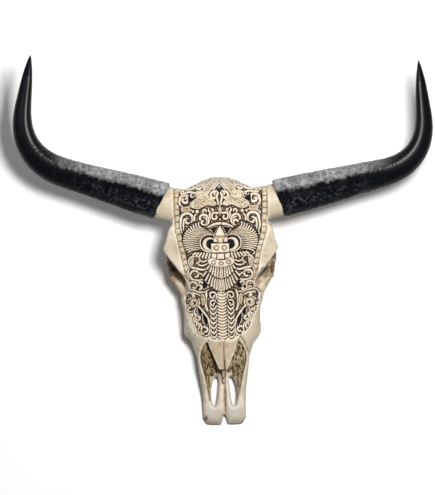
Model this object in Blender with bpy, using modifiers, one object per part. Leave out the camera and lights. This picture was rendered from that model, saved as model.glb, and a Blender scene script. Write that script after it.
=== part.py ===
"""The skull of a domestic water buffalo without its lower jaw, lying on its cheek teeth and on the
processes beside its condyles, with the forehead up and the nose towards -Y. Both horns keep their sheaths.

The bone is modelled in the skull's own frame: x across, y from the nose up to the crown, z out of the
forehead. It is blended into one body, parted into the bones that a person would name, and then turned
so that it rests on the floor."""

import math

import bmesh
import bpy
from mathutils import Matrix, Vector

MM = 0.001
GAP = 0.3 * MM

# How the skull rests: the tilt of its forehead, and the floor's level at the crown in the skull's frame
REST_TILT = math.radians(10.0)
FLOOR_AT_CROWN = -176 * MM
RIGHT, LEFT = -1, 1
SIDES = {"right": RIGHT, "left": LEFT}

# How finely the blended bone is made, and a length past the whole skull's reach, in metres
BLEND_VOXEL, BLEND_SMOOTHING = 3.6 * MM, 4
CUT_VOXEL, CUT_SMOOTHING = 2.4 * MM, 3
BONE_TRIANGLES = 7600
FAR = 0.7

# Lofted sections: y, half width, top, widest level, bottom, fullness above, fullness below (mm)
FRONTAL_SECTIONS = (
    (3, 17, -32, -44, -56, 2.2, 2.0),
    (-4, 36, -19, -42, -66, 2.2, 2.0),
    (-15, 58, -8, -38, -74, 2.3, 2.0),
    (-28, 76, -2, -36, -76, 2.4, 2.0),
    (-60, 90, 2, -34, -72, 2.6, 2.0),
    (-100, 102, 3, -26, -58, 2.8, 2.0),
    (-130, 103, 2, -24, -50, 2.8, 2.0),
    (-165, 90, -1, -24, -48, 2.8, 2.0),
    (-196, 77, -5, -30, -58, 2.5, 2.0),
    (-235, 66, -11, -38, -75, 2.2, 2.0),
    (-268, 52, -18, -40, -75, 2.0, 2.0),
)
BRAINCASE_SECTIONS = (
    (-6, 24, -46, -88, -112, 2.2, 2.2),
    (-14, 50, -30, -86, -132, 2.4, 2.4),
    (-30, 66, -22, -84, -139, 2.4, 2.4),
    (-52, 72, -16, -84, -138, 2.3, 2.4),
    (-90, 64, -12, -76, -128, 2.2, 2.2),
    (-140, 52, -12, -72, -118, 2.2, 2.2),
    (-205, 46, -14, -70, -108, 2.2, 2.2),
)
FACE_SECTIONS = (
    (-176, 58, -10, -60, -96, 2.2, 2.4),
    (-205, 73, -9, -62, -108, 2.2, 2.6),
    (-231, 80, -12, -66, -116, 2.1, 2.8),
    (-262, 78, -15, -70, -114, 1.9, 2.8),
    (-292, 77, -18, -73, -110, 1.8, 2.8),
    (-308, 77, -19, -75, -107, 1.8, 2.8),
    (-322, 70, -20, -73, -103, 1.8, 2.8),
    (-338, 59, -22, -70, -100, 1.8, 2.8),
    (-350, 55, -24, -68, -98, 1.9, 2.8),
    (-378, 52, -31, -68, -94, 2.0, 2.6),
    (-408, 48.5, -42, -70, -91, 2.1, 2.4),
    (-438, 45, -60, -74, -90, 2.3, 2.3),
    (-468, 44.5, -68, -78, -89, 2.4, 2.3),
    (-488, 45, -71, -79, -88, 2.4, 2.3),
    (-501, 37, -74, -79.5, -86, 2.2, 2.2),
)
LOFT_SIDES, LOFT_RINGS = 48, 44
FACE_RINGS = 60

# The floor of the braincase along the midline, and the bar down each side: x, y, z, radius (mm)
SKULL_BASE = ((0, -20, -134, 24), (0, -60, -131, 23), (0, -130, -120, 19), (0, -208, -108, 18))
SIDE_BARS = {
    "orbit_post": ((106, -141, -22, 11), (107, -137, -46, 8), (104, -134, -68, 7.5), (100, -131, -90, 9)),
    "cheek": ((58, -258, -80, 18), (74, -240, -76, 15), (86, -224, -76, 12), (95, -208, -78, 11)),
    "jugular_process": ((58, -42, -106, 19), (63, -44, -132, 14), (61, -47, -156, 10), (56, -50, -194, 7.5)),
    "temporal_root": ((54, -48, -98, 16), (74, -52, -98, 12), (82, -64, -97, 9.5)),
    "wing_plate": ((19, -146, -112, 7), (23, -182, -116, 7), (30, -218, -112, 9)),
    "tooth_bed": ((55, -206, -98, 16), (56, -262, -97, 16), (54, -310, -90, 13.5), (50, -346, -86, 10.5),
                  (47, -368, -84, 5)),
}
BAR_HEIGHT = {"cheek": 1.15, "jugular_process": 1.3, "wing_plate": 1.9}

# Rounded lumps of bone: centre, radii (mm)
NAPE = ((0, -12, -64), (36, 14, 40))
SIDE_LUMPS = {
    "orbit_floor": ((80, -192, -88), (23, 32, 19)),
    "condyle": ((25, -24, -146), (18, 19, 16)),
    "ear_boss": ((56, -78, -114), (17, 23, 22)),
    "cheek_boss": ((69, -306, -78), (10.5, 20, 12)),
}

# Hollows: lofted sections of the nose as above, and rounded ones with their centre and radii (mm)
NOSE_PASSAGE = (
    (-258, 20, -36, -58, -78, 2.2, 2.2), (-300, 38, -32, -60, -82, 2.4, 2.4),
    (-345, 43, -32, -60, -84, 2.4, 2.4),
)
NOSE_OPENING = (
    (-331, 33, 40, -40, -80, 4, 2.6), (-345, 43.5, 40, -40, -83, 4, 2.6),
    (-360, 47, 40, -50, -84, 4, 2.4), (-376, 46, 40, -54, -84, 4, 2.3),
    (-390, 42, 40, -57, -84, 4, 2.2), (-408, 37.5, 40, -60, -81, 4, 2.1),
    (-430, 33.5, 40, -64, -77, 4, 2.0), (-452, 29.5, 40, -64, -72.5, 4, 2.0),
    (-472, 23, 40, -60, -66, 4, 2.0),
)
PASSAGE_RINGS, OPENING_RINGS = 8, 16
HOLLOW_LUMPS = {
    "palate": ((0, -292, -124), (37, 118, 30)),
    "choana": ((0, -196, -116), (14, 40, 17)),
    "spinal_opening": ((0, -12, -120), (17, 40, 15)),
}

# Horn sheaths: root, headings of the straight run and the tip, the bend and how far it reaches (mm, degrees)
HORNS = {
    "right": {"root": (117.5, -44), "length": 489, "headings": (17.6, 99.6), "bend": (292, 106), "slant": 11,
              "radii": (39.5, 37.8, 32, 28.6, 23.2, 16.6, 10, 5.2)},
    "left": {"root": (119, -44), "length": 492, "headings": (12.4, 94.4), "bend": (299, 96), "slant": 6,
             "radii": (39.5, 38, 33, 27, 21.6, 16, 9.6, 4.8)},
}
HORN_STAGES = (0.0, 0.12, 0.3, 0.5, 0.65, 0.8, 0.92, 0.97)
HORN_TIP = 1.2
HORN_SLANTED_PART = 60
HORN_ROOT_LEVEL = -46 * MM
HORN_SAG = 16 * MM
HORN_RINGS, HORN_SIDES = 25, 18
HORN_STRIDES = 12
HORN_EDGE = 0.07
HORN_EDGE_TURN = math.radians(55)

# Horn core, the bare neck of bone between the forehead and the sheath: share of its course, radius (mm)
CORE_INNER, CORE_OUTER = Vector((52, -60, -44)) * MM, Vector((118, -46, -46)) * MM
CORE_STAGES = ((-0.2, 38), (0.0, 38), (0.5, 34.85), (1.0, 33.5), (1.12, 33.5))

# Eye socket and the roof that comes to a point above it: x, y, top, bottom (mm)
ORBIT_ROOF = (
    (58, -90, -3, -30), (104, -97, -7, -27), (110, -121, -12, -25), (117.5, -144, -17, -23),
    (100, -168, -12, -24), (79, -194, -8, -30), (58, -206, -10, -40),
)
ORBIT_CENTRE = Vector((95, -176, -49)) * MM
ORBIT_RADII = Vector((46, 28, 26)) * MM
ORBIT_YAW, ORBIT_RISE = math.radians(-24), math.radians(12)

# Cheek bone and its arch: x, y, z, radius (mm)
ZYGOMATIC_COURSE = (
    (72, -240, -76, 10), (84, -224, -77, 10), (94, -207, -79, 9.5), (100, -186, -82, 9),
    (104, -158, -86, 9), (100, -128, -90, 8), (95, -98, -94, 7.5), (86, -66, -97, 8), (72, -46, -98, 8),
)

# Long opening beside the midline in the roof of the mouth, and the gap at the tip of the nose: x, y (mm)
SLIT_OUTLINE = (
    (11.5, -404), (16, -401), (21, -409), (24.5, -419), (26.5, -434), (26, -450),
    (22.5, -465), (19.5, -468), (16.5, -460), (13.5, -445), (11, -425), (10, -411),
)
SLIT_LEVELS = (-130, 0)
TIP_GAP_OUTLINE = (
    (-10, -514), (10, -514), (6.8, -499), (4.4, -489), (2.2, -481), (0, -474),
    (-2.2, -481), (-4.4, -489), (-6.8, -499),
)
TIP_GAP_LEVELS = (-130, -30)

# The main hollows carved into the forehead: patches of ground between the forms left standing: x, y (mm)
CARVED_GROUND = (
    ((40, -36), (72, -38), (75, -58), (46, -58)),
    ((12, -68), (36, -66), (40, -90), (17, -94)),
    ((49, -70), (78, -68), (81, -92), (55, -94)),
    ((52, -106), (80, -103), (78, -128), (70, -148), (50, -136)),
    ((17, -124), (27, -120), (33, -131), (28, -146), (18, -143)),
    ((35, -160), (64, -158), (66, -180), (38, -184)),
    ((41, -191), (62, -189), (62, -203), (43, -203)),
)
CROWN_GROUND = ((0, -16), (16, -42), (7, -48), (-7, -48), (-16, -42))
CARVED_DEPTH = 2.6 * MM
CARVING_LID = 30 * MM

# Cheek teeth: six a side, growing towards the back, each with ridges down its sides
TOOTH_COUNT = 6
TOOTH_ROW = (-352 * MM, -212 * MM)
TOOTH_LANE = (50 * MM, 57 * MM)
TOOTH_BREADTH = (15 * MM, 24 * MM)
TOOTH_GROWTH = (0.78, 1.22)
TOOTH_SIDES = 12
TOOTH_RIDGE, TOOTH_GROOVE = 1.07, 0.95
TOOTH_SQUARENESS = (3.2, 3.6)
TOOTH_OVERLAP = 1.06

# Levels of a tooth over the floor, and how wide it is there
TOOTH_STAGES = ((-6 * MM, 0.96), (4 * MM, 1.0), (34 * MM, 0.84))

# Nasal bones: y, half width (mm)
NASAL_OUTLINE = ((-206, 22), (-262, 29), (-318, 32), (-336, 30), (-376, 13.5), (-388, 8.5))
NASAL_THICKNESS = 7 * MM
NASAL_SLOPE = 2 * MM
NASAL_LID = 30 * MM
NASAL_NOTCH = 1.2 * MM

# Keel in the middle of the nose: y, half thickness, bottom, top (mm)
VOMER_SECTIONS = (
    (-285, 3, -84, -40), (-330, 3, -86, -38), (-380, 3, -84, -44), (-402, 2.2, -80, -62),
    (-416, 2.2, -78, -68),
)

# Scrolled bone inside the nose: each scroll's x, z, radius and end, and its course back from that (mm)
SCROLLS = ((14, -66, 9, -392), (27, -62, 10, -400), (37, -60, 8, -424))
SCROLL_COURSE = ((-292, 0.9, 8), (-330, 1.0, 6), (-364, 1.0, 0))
SCROLL_END_DROP, SCROLL_END_REACH, SCROLL_END_RADIUS = -9, 0.86, 3.5
SCROLL_BED = ((24, -296, -80, 15), (24, -386, -80, 11))
SCROLL_HEIGHT, SCROLL_BED_HEIGHT, SCROLL_SIDES = 1.3, 0.75, 8
KEEL_ROOM = 3.5 * MM

# Where the bones part
FACE_CUT = -207 * MM
PREMAXILLA_CUT = -396 * MM

# Colour and roughness
BONE_LOOK = ((0.80, 0.70, 0.53, 1.0), 0.6)
HORN_LOOK = ((0.018, 0.019, 0.024, 1.0), 0.35)
INNER_LOOK = ((0.30, 0.18, 0.08, 1.0), 0.8)


def clear_scene():
    for obj in list(bpy.data.objects):
        bpy.data.objects.remove(obj)


def collection(name):
    made = bpy.data.collections.new(name)
    bpy.context.scene.collection.children.link(made)
    return made


def material(name, colour, roughness):
    made = bpy.data.materials.new(name)
    made.use_nodes = True
    shader = made.node_tree.nodes["Principled BSDF"]
    shader.inputs["Base Color"].default_value = colour
    shader.inputs["Roughness"].default_value = roughness
    shader.inputs["Metallic"].default_value = 0.0
    return made


def new_object(name, mesh, group):
    obj = bpy.data.objects.new(name, mesh)
    group.objects.link(obj)
    return obj


def object_from_bmesh(name, bm, group):
    bmesh.ops.recalc_face_normals(bm, faces=bm.faces)
    mesh = bpy.data.meshes.new(name)
    bm.to_mesh(mesh)
    bm.free()
    return new_object(name, mesh, group)


def discard(*objects):
    for obj in objects:
        mesh = obj.data
        bpy.data.objects.remove(obj)
        if mesh.users == 0:
            bpy.data.meshes.remove(mesh)


def apply_modifiers(obj):
    graph = bpy.context.evaluated_depsgraph_get()
    mesh = bpy.data.meshes.new_from_object(obj.evaluated_get(graph))
    obj.modifiers.clear()
    old = obj.data
    obj.data = mesh
    if old.users == 0:
        bpy.data.meshes.remove(old)
    return obj


def eased(t):
    t = min(max(t, 0.0), 1.0)
    return t * t * (3 - 2 * t)


def along(table, key):
    """The numbers at key, read smoothly between the rows of a table with its keys in the first column."""
    rows = list(table)
    if rows[0][0] > rows[-1][0]:
        rows.reverse()
    key = min(max(key, rows[0][0]), rows[-1][0])
    i = max(n for n in range(len(rows) - 1) if rows[n][0] <= key)
    start, end = rows[i], rows[i + 1]
    before, after = rows[max(i - 1, 0)], rows[min(i + 2, len(rows) - 1)]
    span = end[0] - start[0]
    t = (key - start[0]) / span
    found = []
    for column in range(1, len(start)):
        rise = end[column] - start[column]
        slope_in = span * (end[column] - before[column]) / (end[0] - before[0])
        slope_out = span * (after[column] - start[column]) / (after[0] - start[0])
        slopes = [min(max(s / rise, 0.0), 3.0) * rise if rise else 0.0 for s in (slope_in, slope_out)]
        found.append(
            start[column] + rise * (3 * t * t - 2 * t ** 3)
            + slopes[0] * (t - 2 * t * t + t ** 3) + slopes[1] * (t ** 3 - t * t)
        )
    return found


def skin(name, rings, group):
    """A closed body through rings of points, all with the same count, its ends closed by fans."""
    bm = bmesh.new()
    made = [[bm.verts.new(point) for point in ring] for ring in rings]
    count = len(made[0])
    for lower, upper in zip(made, made[1:]):
        for i in range(count):
            j = (i + 1) % count
            bm.faces.new((lower[i], lower[j], upper[j], upper[i]))
    for ring in (made[0], made[-1]):
        centre = bm.verts.new(sum((v.co for v in ring), Vector()) / count)
        for i in range(count):
            bm.faces.new((ring[i], ring[(i + 1) % count], centre))
    return object_from_bmesh(name, bm, group)


def fullness(value, power):
    return math.copysign(abs(value) ** (2 / power), value)


def lofted(name, sections, group, rings=LOFT_RINGS):
    """A body through rounded sections set out along y."""
    first, last = sections[0][0], sections[-1][0]
    made = []
    for n in range(rings):
        y = first + (last - first) * n / (rings - 1)
        width, top, level, bottom, above, below = along(sections, y)
        ring = []
        for i in range(LOFT_SIDES):
            turn = 2 * math.pi * i / LOFT_SIDES
            across, up = math.cos(turn), math.sin(turn)
            power = above if up > 0 else below
            height = (top - level) if up > 0 else (level - bottom)
            point = (width * fullness(across, power), y, level + height * fullness(up, power))
            ring.append(Vector(point) * MM)
        made.append(ring)
    return skin(name, made, group)


def ellipsoid(name, centre, radii, group, turn=None, segments=24, rings=14):
    bm = bmesh.new()
    bmesh.ops.create_uvsphere(bm, u_segments=segments, v_segments=rings, radius=1)
    place = Matrix.Translation(centre) @ (turn or Matrix.Identity(4)) @ Matrix.Diagonal((*radii, 1))
    bmesh.ops.transform(bm, matrix=place, verts=bm.verts)
    return object_from_bmesh(name, bm, group)


def rod(name, points, radii, group, sides=16, flatten=1.0):
    """A round bar through points, each with its radius, lower across z by the share flatten."""
    rings = []
    for n, point in enumerate(points):
        ahead = points[min(n + 1, len(points) - 1)] - points[max(n - 1, 0)]
        across = ahead.cross(Vector((0, 0, 1)))
        across = across.normalized() if across.length > 1e-9 else Vector((1, 0, 0))
        up = across.cross(ahead).normalized()
        rings.append([
            point + across * radii[n] * math.cos(2 * math.pi * i / sides)
            + up * radii[n] * flatten * math.sin(2 * math.pi * i / sides)
            for i in range(sides)
        ])
    return skin(name, rings, group)


def box(name, low, high, group, turn=None):
    bm = bmesh.new()
    bmesh.ops.create_cube(bm, size=1)
    size, centre = Vector(high) - Vector(low), (Vector(high) + Vector(low)) / 2
    place = (turn or Matrix.Identity(4)) @ Matrix.Translation(centre) @ Matrix.Diagonal((*size, 1))
    bmesh.ops.transform(bm, matrix=place, verts=bm.verts)
    return object_from_bmesh(name, bm, group)


def copy_of(obj, name):
    return new_object(name, obj.data.copy(), obj.users_collection[0])


def boolean(obj, operation, *others):
    """Cuts, joins or keeps, with each other object used up."""
    tools = bpy.data.collections.new("tools")
    for other in others:
        tools.objects.link(other)
    step = obj.modifiers.new(operation.lower(), "BOOLEAN")
    step.operation = operation
    step.solver = "EXACT"
    step.operand_type = "COLLECTION" if len(others) > 1 else "OBJECT"
    if len(others) > 1:
        step.collection = tools
    else:
        step.object = others[0]
    apply_modifiers(obj)
    discard(*others)
    bpy.data.collections.remove(tools)
    return obj


def keep_largest(obj):
    """Drops every closed surface of a node but the largest."""
    bm = bmesh.new()
    bm.from_mesh(obj.data)
    bmesh.ops.remove_doubles(bm, verts=bm.verts, dist=1e-6)
    bmesh.ops.dissolve_degenerate(bm, dist=2e-6, edges=bm.edges)
    left, groups = set(bm.faces), []
    while left:
        seed = left.pop()
        group, edge = {seed}, [seed]
        while edge:
            face = edge.pop()
            for side in face.edges:
                for other in side.link_faces:
                    if other in left:
                        left.discard(other)
                        group.add(other)
                        edge.append(other)
        groups.append(group)
    groups.sort(key=lambda faces: sum(f.calc_area() for f in faces))
    bmesh.ops.delete(bm, geom=[f for g in groups[:-1] for f in g], context="FACES")
    bmesh.ops.triangulate(bm, faces=bm.faces)
    bm.to_mesh(obj.data)
    bm.free()
    return obj


def grown(obj, name, by=GAP):
    """A copy pushed outwards, which clears a gap when it cuts its neighbour."""
    copy = copy_of(obj, name)
    step = copy.modifiers.new("grow", "DISPLACE")
    step.strength = by
    step.mid_level = 0.0
    return apply_modifiers(copy)


def join(name, objects, group):
    bm = bmesh.new()
    for obj in objects:
        bm.from_mesh(obj.data)
    discard(*objects)
    mesh = bpy.data.meshes.new(name)
    bm.to_mesh(mesh)
    bm.free()
    return new_object(name, mesh, group)


def mirrored(point, side):
    return Vector((point[0] * side, point[1], point[2]))


def face_top(y):
    """Level of the bridge of the nose at y, in metres."""
    return along(FACE_SECTIONS, y / MM)[1] * MM


def bar(name, stations, side, group, height=1.0, sides=16):
    """A rod through stations given as x, y, z and radius, all in mm."""
    points = [mirrored(Vector(station[:3]) * MM, side) for station in stations]
    return rod(name, points, [station[3] * MM for station in stations], group, sides, height)


def lump(name, centre, radii, side, group):
    """An ellipsoid from a centre and radii in mm."""
    return ellipsoid(name, mirrored(Vector(centre) * MM, side), Vector(radii) * MM, group)


def side_pieces(side, group):
    """The overlapping shapes of the bone on one side of the midline."""
    core = [mirrored(CORE_INNER.lerp(CORE_OUTER, share), side) for share, _ in CORE_STAGES]
    pieces = [
        rod("horn_core", core, [radius * MM for _, radius in CORE_STAGES], group, 24),
        prism("orbit_roof", [(x, y) for x, y, _, _ in ORBIT_ROOF], [low for *_, low in ORBIT_ROOF],
              [top for _, _, top, _ in ORBIT_ROOF], side, group),
    ]
    for name, stations in SIDE_BARS.items():
        pieces.append(bar(name, stations, side, group, BAR_HEIGHT.get(name, 1.0)))
    for name, (centre, radii) in SIDE_LUMPS.items():
        pieces.append(lump(name, centre, radii, side, group))
    return pieces


def bone_pieces(group):
    """All the overlapping shapes that are blended into the bone."""
    pieces = [
        lofted("frontal", FRONTAL_SECTIONS, group),
        lofted("braincase", BRAINCASE_SECTIONS, group),
        lofted("face", FACE_SECTIONS, group, FACE_RINGS),
        bar("skull_base", SKULL_BASE, LEFT, group),
        lump("nape", *NAPE, LEFT, group),
    ]
    for side in SIDES.values():
        pieces += side_pieces(side, group)
    return pieces


def blend(obj, voxel, smoothing):
    """Melts overlapping or cut shapes into one surface with rounded edges."""
    remesh = obj.modifiers.new("blend", "REMESH")
    remesh.mode = "VOXEL"
    remesh.voxel_size = voxel
    smooth = obj.modifiers.new("soften", "SMOOTH")
    smooth.factor = 0.5
    smooth.iterations = smoothing
    return apply_modifiers(obj)


def thinned(obj, triangles):
    keep_largest(obj)
    thin = obj.modifiers.new("thin", "DECIMATE")
    thin.ratio = triangles / len(obj.data.polygons)
    apply_modifiers(obj)
    return keep_largest(obj)


def blended_bone(group):
    """All bone as one smooth body with its openings cut, and a closed one for the nasal bones."""
    bone = blend(join("bone", bone_pieces(group), group), BLEND_VOXEL, BLEND_SMOOTHING)
    closed = thinned(copy_of(bone, "closed"), BONE_TRIANGLES)
    boolean(bone, "DIFFERENCE", *hollow_cutters(group))
    blend(bone, CUT_VOXEL, CUT_SMOOTHING)
    return thinned(bone, BONE_TRIANGLES), closed


def nasal_prism(name, side, group, grow=0.0):
    """The space of one nasal bone: its outline from above, down to its thickness."""
    rings = []
    for n, (y, width) in enumerate(NASAL_OUTLINE):
        y, width = y * MM, width * MM
        end = -grow if n == len(NASAL_OUTLINE) - 1 else grow if n == 0 else 0.0
        inner = GAP / 2 - grow + (NASAL_NOTCH if n == len(NASAL_OUTLINE) - 1 else 0.0)
        floor = face_top(y) - NASAL_THICKNESS - grow
        outer = width + grow
        corners = ((inner, floor), (outer, floor - NASAL_SLOPE), (outer, NASAL_LID), (inner, NASAL_LID))
        rings.append([mirrored((x, y + end, z), side) for x, z in corners])
    return skin(name, rings, group)


def nasal_bones(closed, group):
    """Both nasal bones, kept from the closed bone, and the cutters that make room for them."""
    nasals, room = {}, []
    for name, side in SIDES.items():
        nasal = copy_of(closed, "nasal_" + name)
        boolean(nasal, "INTERSECT", nasal_prism("outline", side, group))
        nasals["nasal_" + name] = keep_largest(nasal)
        room.append(nasal_prism("nasal_room", side, group, GAP))
    discard(closed)
    return nasals, room


def orbit_cutter(side, group):
    turn = Matrix.Rotation(side * ORBIT_YAW, 4, "Z") @ Matrix.Rotation(-side * ORBIT_RISE, 4, "Y")
    return ellipsoid("orbit", mirrored(ORBIT_CENTRE, side), ORBIT_RADII, group, turn, 28, 16)


def prism(name, outline, lows, highs, side, group):
    """An upright body on one outline, from a lower to an upper level at each of its corners, all in mm."""
    rings = [
        [mirrored(Vector((x, y, z)) * MM, side) for (x, y), z in zip(outline, levels)]
        for levels in (lows, highs)
    ]
    return skin(name, rings, group)


def flat_prism(name, outline, levels, side, group):
    """A prism with a level floor and a level lid."""
    low, high = levels
    return prism(name, outline, [low] * len(outline), [high] * len(outline), side, group)


def hollow_cutters(group):
    """The nose, the roof of the mouth, the eye sockets and the other openings of the bone."""
    cutters = [
        lofted("passage", NOSE_PASSAGE, group, PASSAGE_RINGS),
        lofted("nose_opening", NOSE_OPENING, group, OPENING_RINGS),
    ]
    for name, (centre, radii) in HOLLOW_LUMPS.items():
        cutters.append(lump(name, centre, radii, LEFT, group))
    for side in SIDES.values():
        cutters += [orbit_cutter(side, group), flat_prism("slit", SLIT_OUTLINE, SLIT_LEVELS, side, group)]
    return cutters


def floor_cutter(group):
    """Everything under the plane that the skull rests on, which is tilted in the skull's frame."""
    turn = Matrix.Translation((0, 0, FLOOR_AT_CROWN)) @ Matrix.Rotation(-REST_TILT, 4, "X")
    return box("under_floor", (-FAR, -FAR, -FAR), (FAR, FAR, 0.0), group, turn)


def floor_level(y):
    return FLOOR_AT_CROWN - math.tan(REST_TILT) * y


def cheek_teeth(side, group):
    """Six ridged crowns in a row that grow in size towards the back, sunk into the jaw."""
    teeth = []
    start, end = TOOTH_ROW
    last = TOOTH_COUNT - 1
    growth = [TOOTH_GROWTH[0] + (TOOTH_GROWTH[1] - TOOTH_GROWTH[0]) * n / last for n in range(TOOTH_COUNT)]
    y = start
    for n in range(TOOTH_COUNT):
        share = n / last
        length = (end - start) * growth[n] / sum(growth)
        breadth = TOOTH_BREADTH[0] + (TOOTH_BREADTH[1] - TOOTH_BREADTH[0]) * share
        outwards = math.sin(math.pi / 2 * min(0.2 + 0.8 * share, 1.0))
        lane = TOOTH_LANE[0] + (TOOTH_LANE[1] - TOOTH_LANE[0]) * outwards
        rings = []
        for height, swell in TOOTH_STAGES:
            ring = []
            for i in range(TOOTH_SIDES):
                turn = 2 * math.pi * i / TOOTH_SIDES
                flute = TOOTH_RIDGE if i % 2 else TOOTH_GROOVE
                across = flute * fullness(math.cos(turn), TOOTH_SQUARENESS[0])
                ahead = TOOTH_OVERLAP * fullness(math.sin(turn), TOOTH_SQUARENESS[1])
                ring.append(mirrored((
                    lane + breadth * swell * across / 2,
                    y + length * (1 + swell * ahead) / 2,
                    floor_level(y) + height,
                ), side))
            rings.append(ring)
        teeth.append(skin("tooth", rings, group))
        y += length
    return teeth


def ground_cutter(bone, outline, side, group):
    """A shallow patch of carved ground: its floor lies a little under the skin of the forehead."""
    corners = [mirrored(Vector((x, y, 0)) * MM, side) for x, y in outline]
    corners.append(sum(corners, Vector()) / len(corners))
    bm = bmesh.new()
    floor, lid = [], []
    for x, y, _ in corners:
        spot = bone.ray_cast(Vector((x, y, CARVING_LID)), Vector((0, 0, -1)))[1]
        floor.append(bm.verts.new((x, y, spot.z - CARVED_DEPTH)))
        lid.append(bm.verts.new((x, y, CARVING_LID)))
    for n in range(len(outline)):
        m = (n + 1) % len(outline)
        bm.faces.new((floor[n], floor[m], lid[m], lid[n]))
        bm.faces.new((floor[m], floor[n], floor[-1]))
        bm.faces.new((lid[n], lid[m], lid[-1]))
    return object_from_bmesh("carved_ground", bm, group)


def carve(bone, group):
    """Sinks the main patches of carved ground into the forehead, which leaves the main forms standing."""
    cutters = [ground_cutter(bone, CROWN_GROUND, LEFT, group)]
    for outline in CARVED_GROUND:
        cutters += [ground_cutter(bone, outline, side, group) for side in SIDES.values()]
    return boolean(bone, "DIFFERENCE", *cutters)


def part_bone(bone, group):
    """The blended bone parted into cranium, upper jaws and premaxillae by thin planar cuts."""
    spaces = {
        "cranium": ((-FAR, FACE_CUT + GAP / 2, -FAR), (FAR, FAR, FAR)),
        "maxilla_right": ((-FAR, PREMAXILLA_CUT + GAP / 2, -FAR), (-GAP / 2, FACE_CUT - GAP / 2, FAR)),
        "maxilla_left": ((GAP / 2, PREMAXILLA_CUT + GAP / 2, -FAR), (FAR, FACE_CUT - GAP / 2, FAR)),
        "premaxilla_right": ((-FAR, -FAR, -FAR), (-GAP / 2, PREMAXILLA_CUT - GAP / 2, FAR)),
        "premaxilla_left": ((GAP / 2, -FAR, -FAR), (FAR, PREMAXILLA_CUT - GAP / 2, FAR)),
    }
    bones = {}
    for name, (low, high) in spaces.items():
        piece = copy_of(bone, name)
        boolean(piece, "INTERSECT", box("space", low, high, group))
        bones[name] = keep_largest(piece)
    discard(bone)
    return bones


def zygomatic_arch(name, side, bones, group):
    """The cheek bone's arch from below the eye socket back to the ear, cut clear of its neighbours."""
    rows = [(n, *row) for n, row in enumerate(ZYGOMATIC_COURSE)]
    steps = 14
    points, radii = [], []
    for n in range(steps):
        x, y, z, radius = along(rows, (len(rows) - 1) * n / (steps - 1))
        points.append(mirrored(Vector((x, y, z)) * MM, side))
        radii.append(radius * MM)
    arch = rod(name, points, radii, group, 10, 1.25)
    neighbours = [grown(bones["cranium"], "clear"), grown(bones["maxilla_" + name.split("_")[1]], "clear")]
    boolean(arch, "DIFFERENCE", *neighbours)
    return keep_largest(arch)


def nose_floor(name, side, bones, group):
    """The ridged bone seen inside the nose, beside the midline."""
    pieces = []
    for lane, level, radius, end in SCROLLS:
        stations = [(lane * reach, y, level + drop, radius) for y, reach, drop in SCROLL_COURSE]
        stations.append((lane * SCROLL_END_REACH, end, level + SCROLL_END_DROP, SCROLL_END_RADIUS))
        pieces.append(bar("scroll", stations, side, group, SCROLL_HEIGHT, SCROLL_SIDES))
    pieces.append(bar("bed", SCROLL_BED, side, group, SCROLL_BED_HEIGHT, SCROLL_SIDES))
    scroll = pieces[0]
    scroll.name = name
    boolean(scroll, "UNION", *pieces[1:])
    near = name.split("_")[1]
    clear = [grown(bones[other + near], "clear") for other in ("maxilla_", "premaxilla_", "nasal_")]
    clear.append(box("middle", (-KEEL_ROOM, -FAR, -FAR), (KEEL_ROOM, FAR, FAR), group))
    boolean(scroll, "DIFFERENCE", *clear)
    return keep_largest(scroll)


def vomer(bones, group):
    """The thin keel that stands in the midline between the nasal bones and the roof of the mouth."""
    rings = []
    for y, half, low, high in VOMER_SECTIONS:
        corners = ((-half, low), (half, low), (half, high), (-half, high))
        rings.append([Vector((x, y, z)) * MM for x, z in corners])
    keel = skin("vomer", rings, group)
    clear = [grown(obj, "clear") for name, obj in bones.items() if not name.startswith("cranium")]
    boolean(keel, "DIFFERENCE", *clear)
    return keep_largest(keel)


def horn_sheath(name, side, group):
    """A black horn: nearly straight from its root, then turning up to the tip."""
    sizes = HORNS[name.split("_")[1]]
    length, (middle, half) = sizes["length"], sizes["bend"]
    low, high = sizes["headings"]
    root_slant = math.tan(math.radians(sizes["slant"]))
    stages = list(zip(HORN_STAGES, sizes["radii"])) + [(1.0, HORN_TIP)]
    x, y = sizes["root"]
    rings, walked = [], 0.0
    step = length / HORN_RINGS / HORN_STRIDES
    for n in range(HORN_RINGS + 1):
        share = n / HORN_RINGS
        heading = math.radians(low + (high - low) * eased((walked - middle + half) / (2 * half)))
        level = HORN_ROOT_LEVEL / MM - (HORN_SAG / MM) * math.sin(math.pi * min(share * 1.1, 1.0))
        radius = along(stages, share)[0]
        slant = root_slant * max(0.0, 1 - walked / HORN_SLANTED_PART)
        ring = []
        for i in range(HORN_SIDES):
            turn = 2 * math.pi * i / HORN_SIDES
            edge = 1 + HORN_EDGE * math.cos(3 * (turn - HORN_EDGE_TURN))
            out = radius * (edge * math.cos(turn) - HORN_EDGE * math.cos(3 * HORN_EDGE_TURN))
            lift = radius * edge * math.sin(turn)
            back = -out * slant
            ring.append(mirrored(Vector((
                x - out * math.sin(heading) + back * math.cos(heading),
                y + out * math.cos(heading) + back * math.sin(heading),
                level + lift,
            )) * MM, side))
        rings.append(ring)
        for _ in range(HORN_STRIDES):
            heading = math.radians(low + (high - low) * eased((walked - middle + half) / (2 * half)))
            x += math.cos(heading) * step
            y += math.sin(heading) * step
            walked += step
    return skin(name, rings, group)


def rest_on_floor(nodes):
    """Turns the skull so that its teeth and jugular processes lie on z = 0, centred over the origin."""
    turn = Matrix.Rotation(REST_TILT, 4, "X") @ Matrix.Translation((0, 0, -FLOOR_AT_CROWN))
    for obj in nodes.values():
        obj.data.transform(turn)
    corners = [v.co for obj in nodes.values() for v in obj.data.vertices]
    middle = [(min(c[i] for c in corners) + max(c[i] for c in corners)) / 2 for i in (0, 1)]
    lowest = min(c.z for c in corners)
    for obj in nodes.values():
        obj.data.transform(Matrix.Translation((-middle[0], -middle[1], -lowest)))


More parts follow.
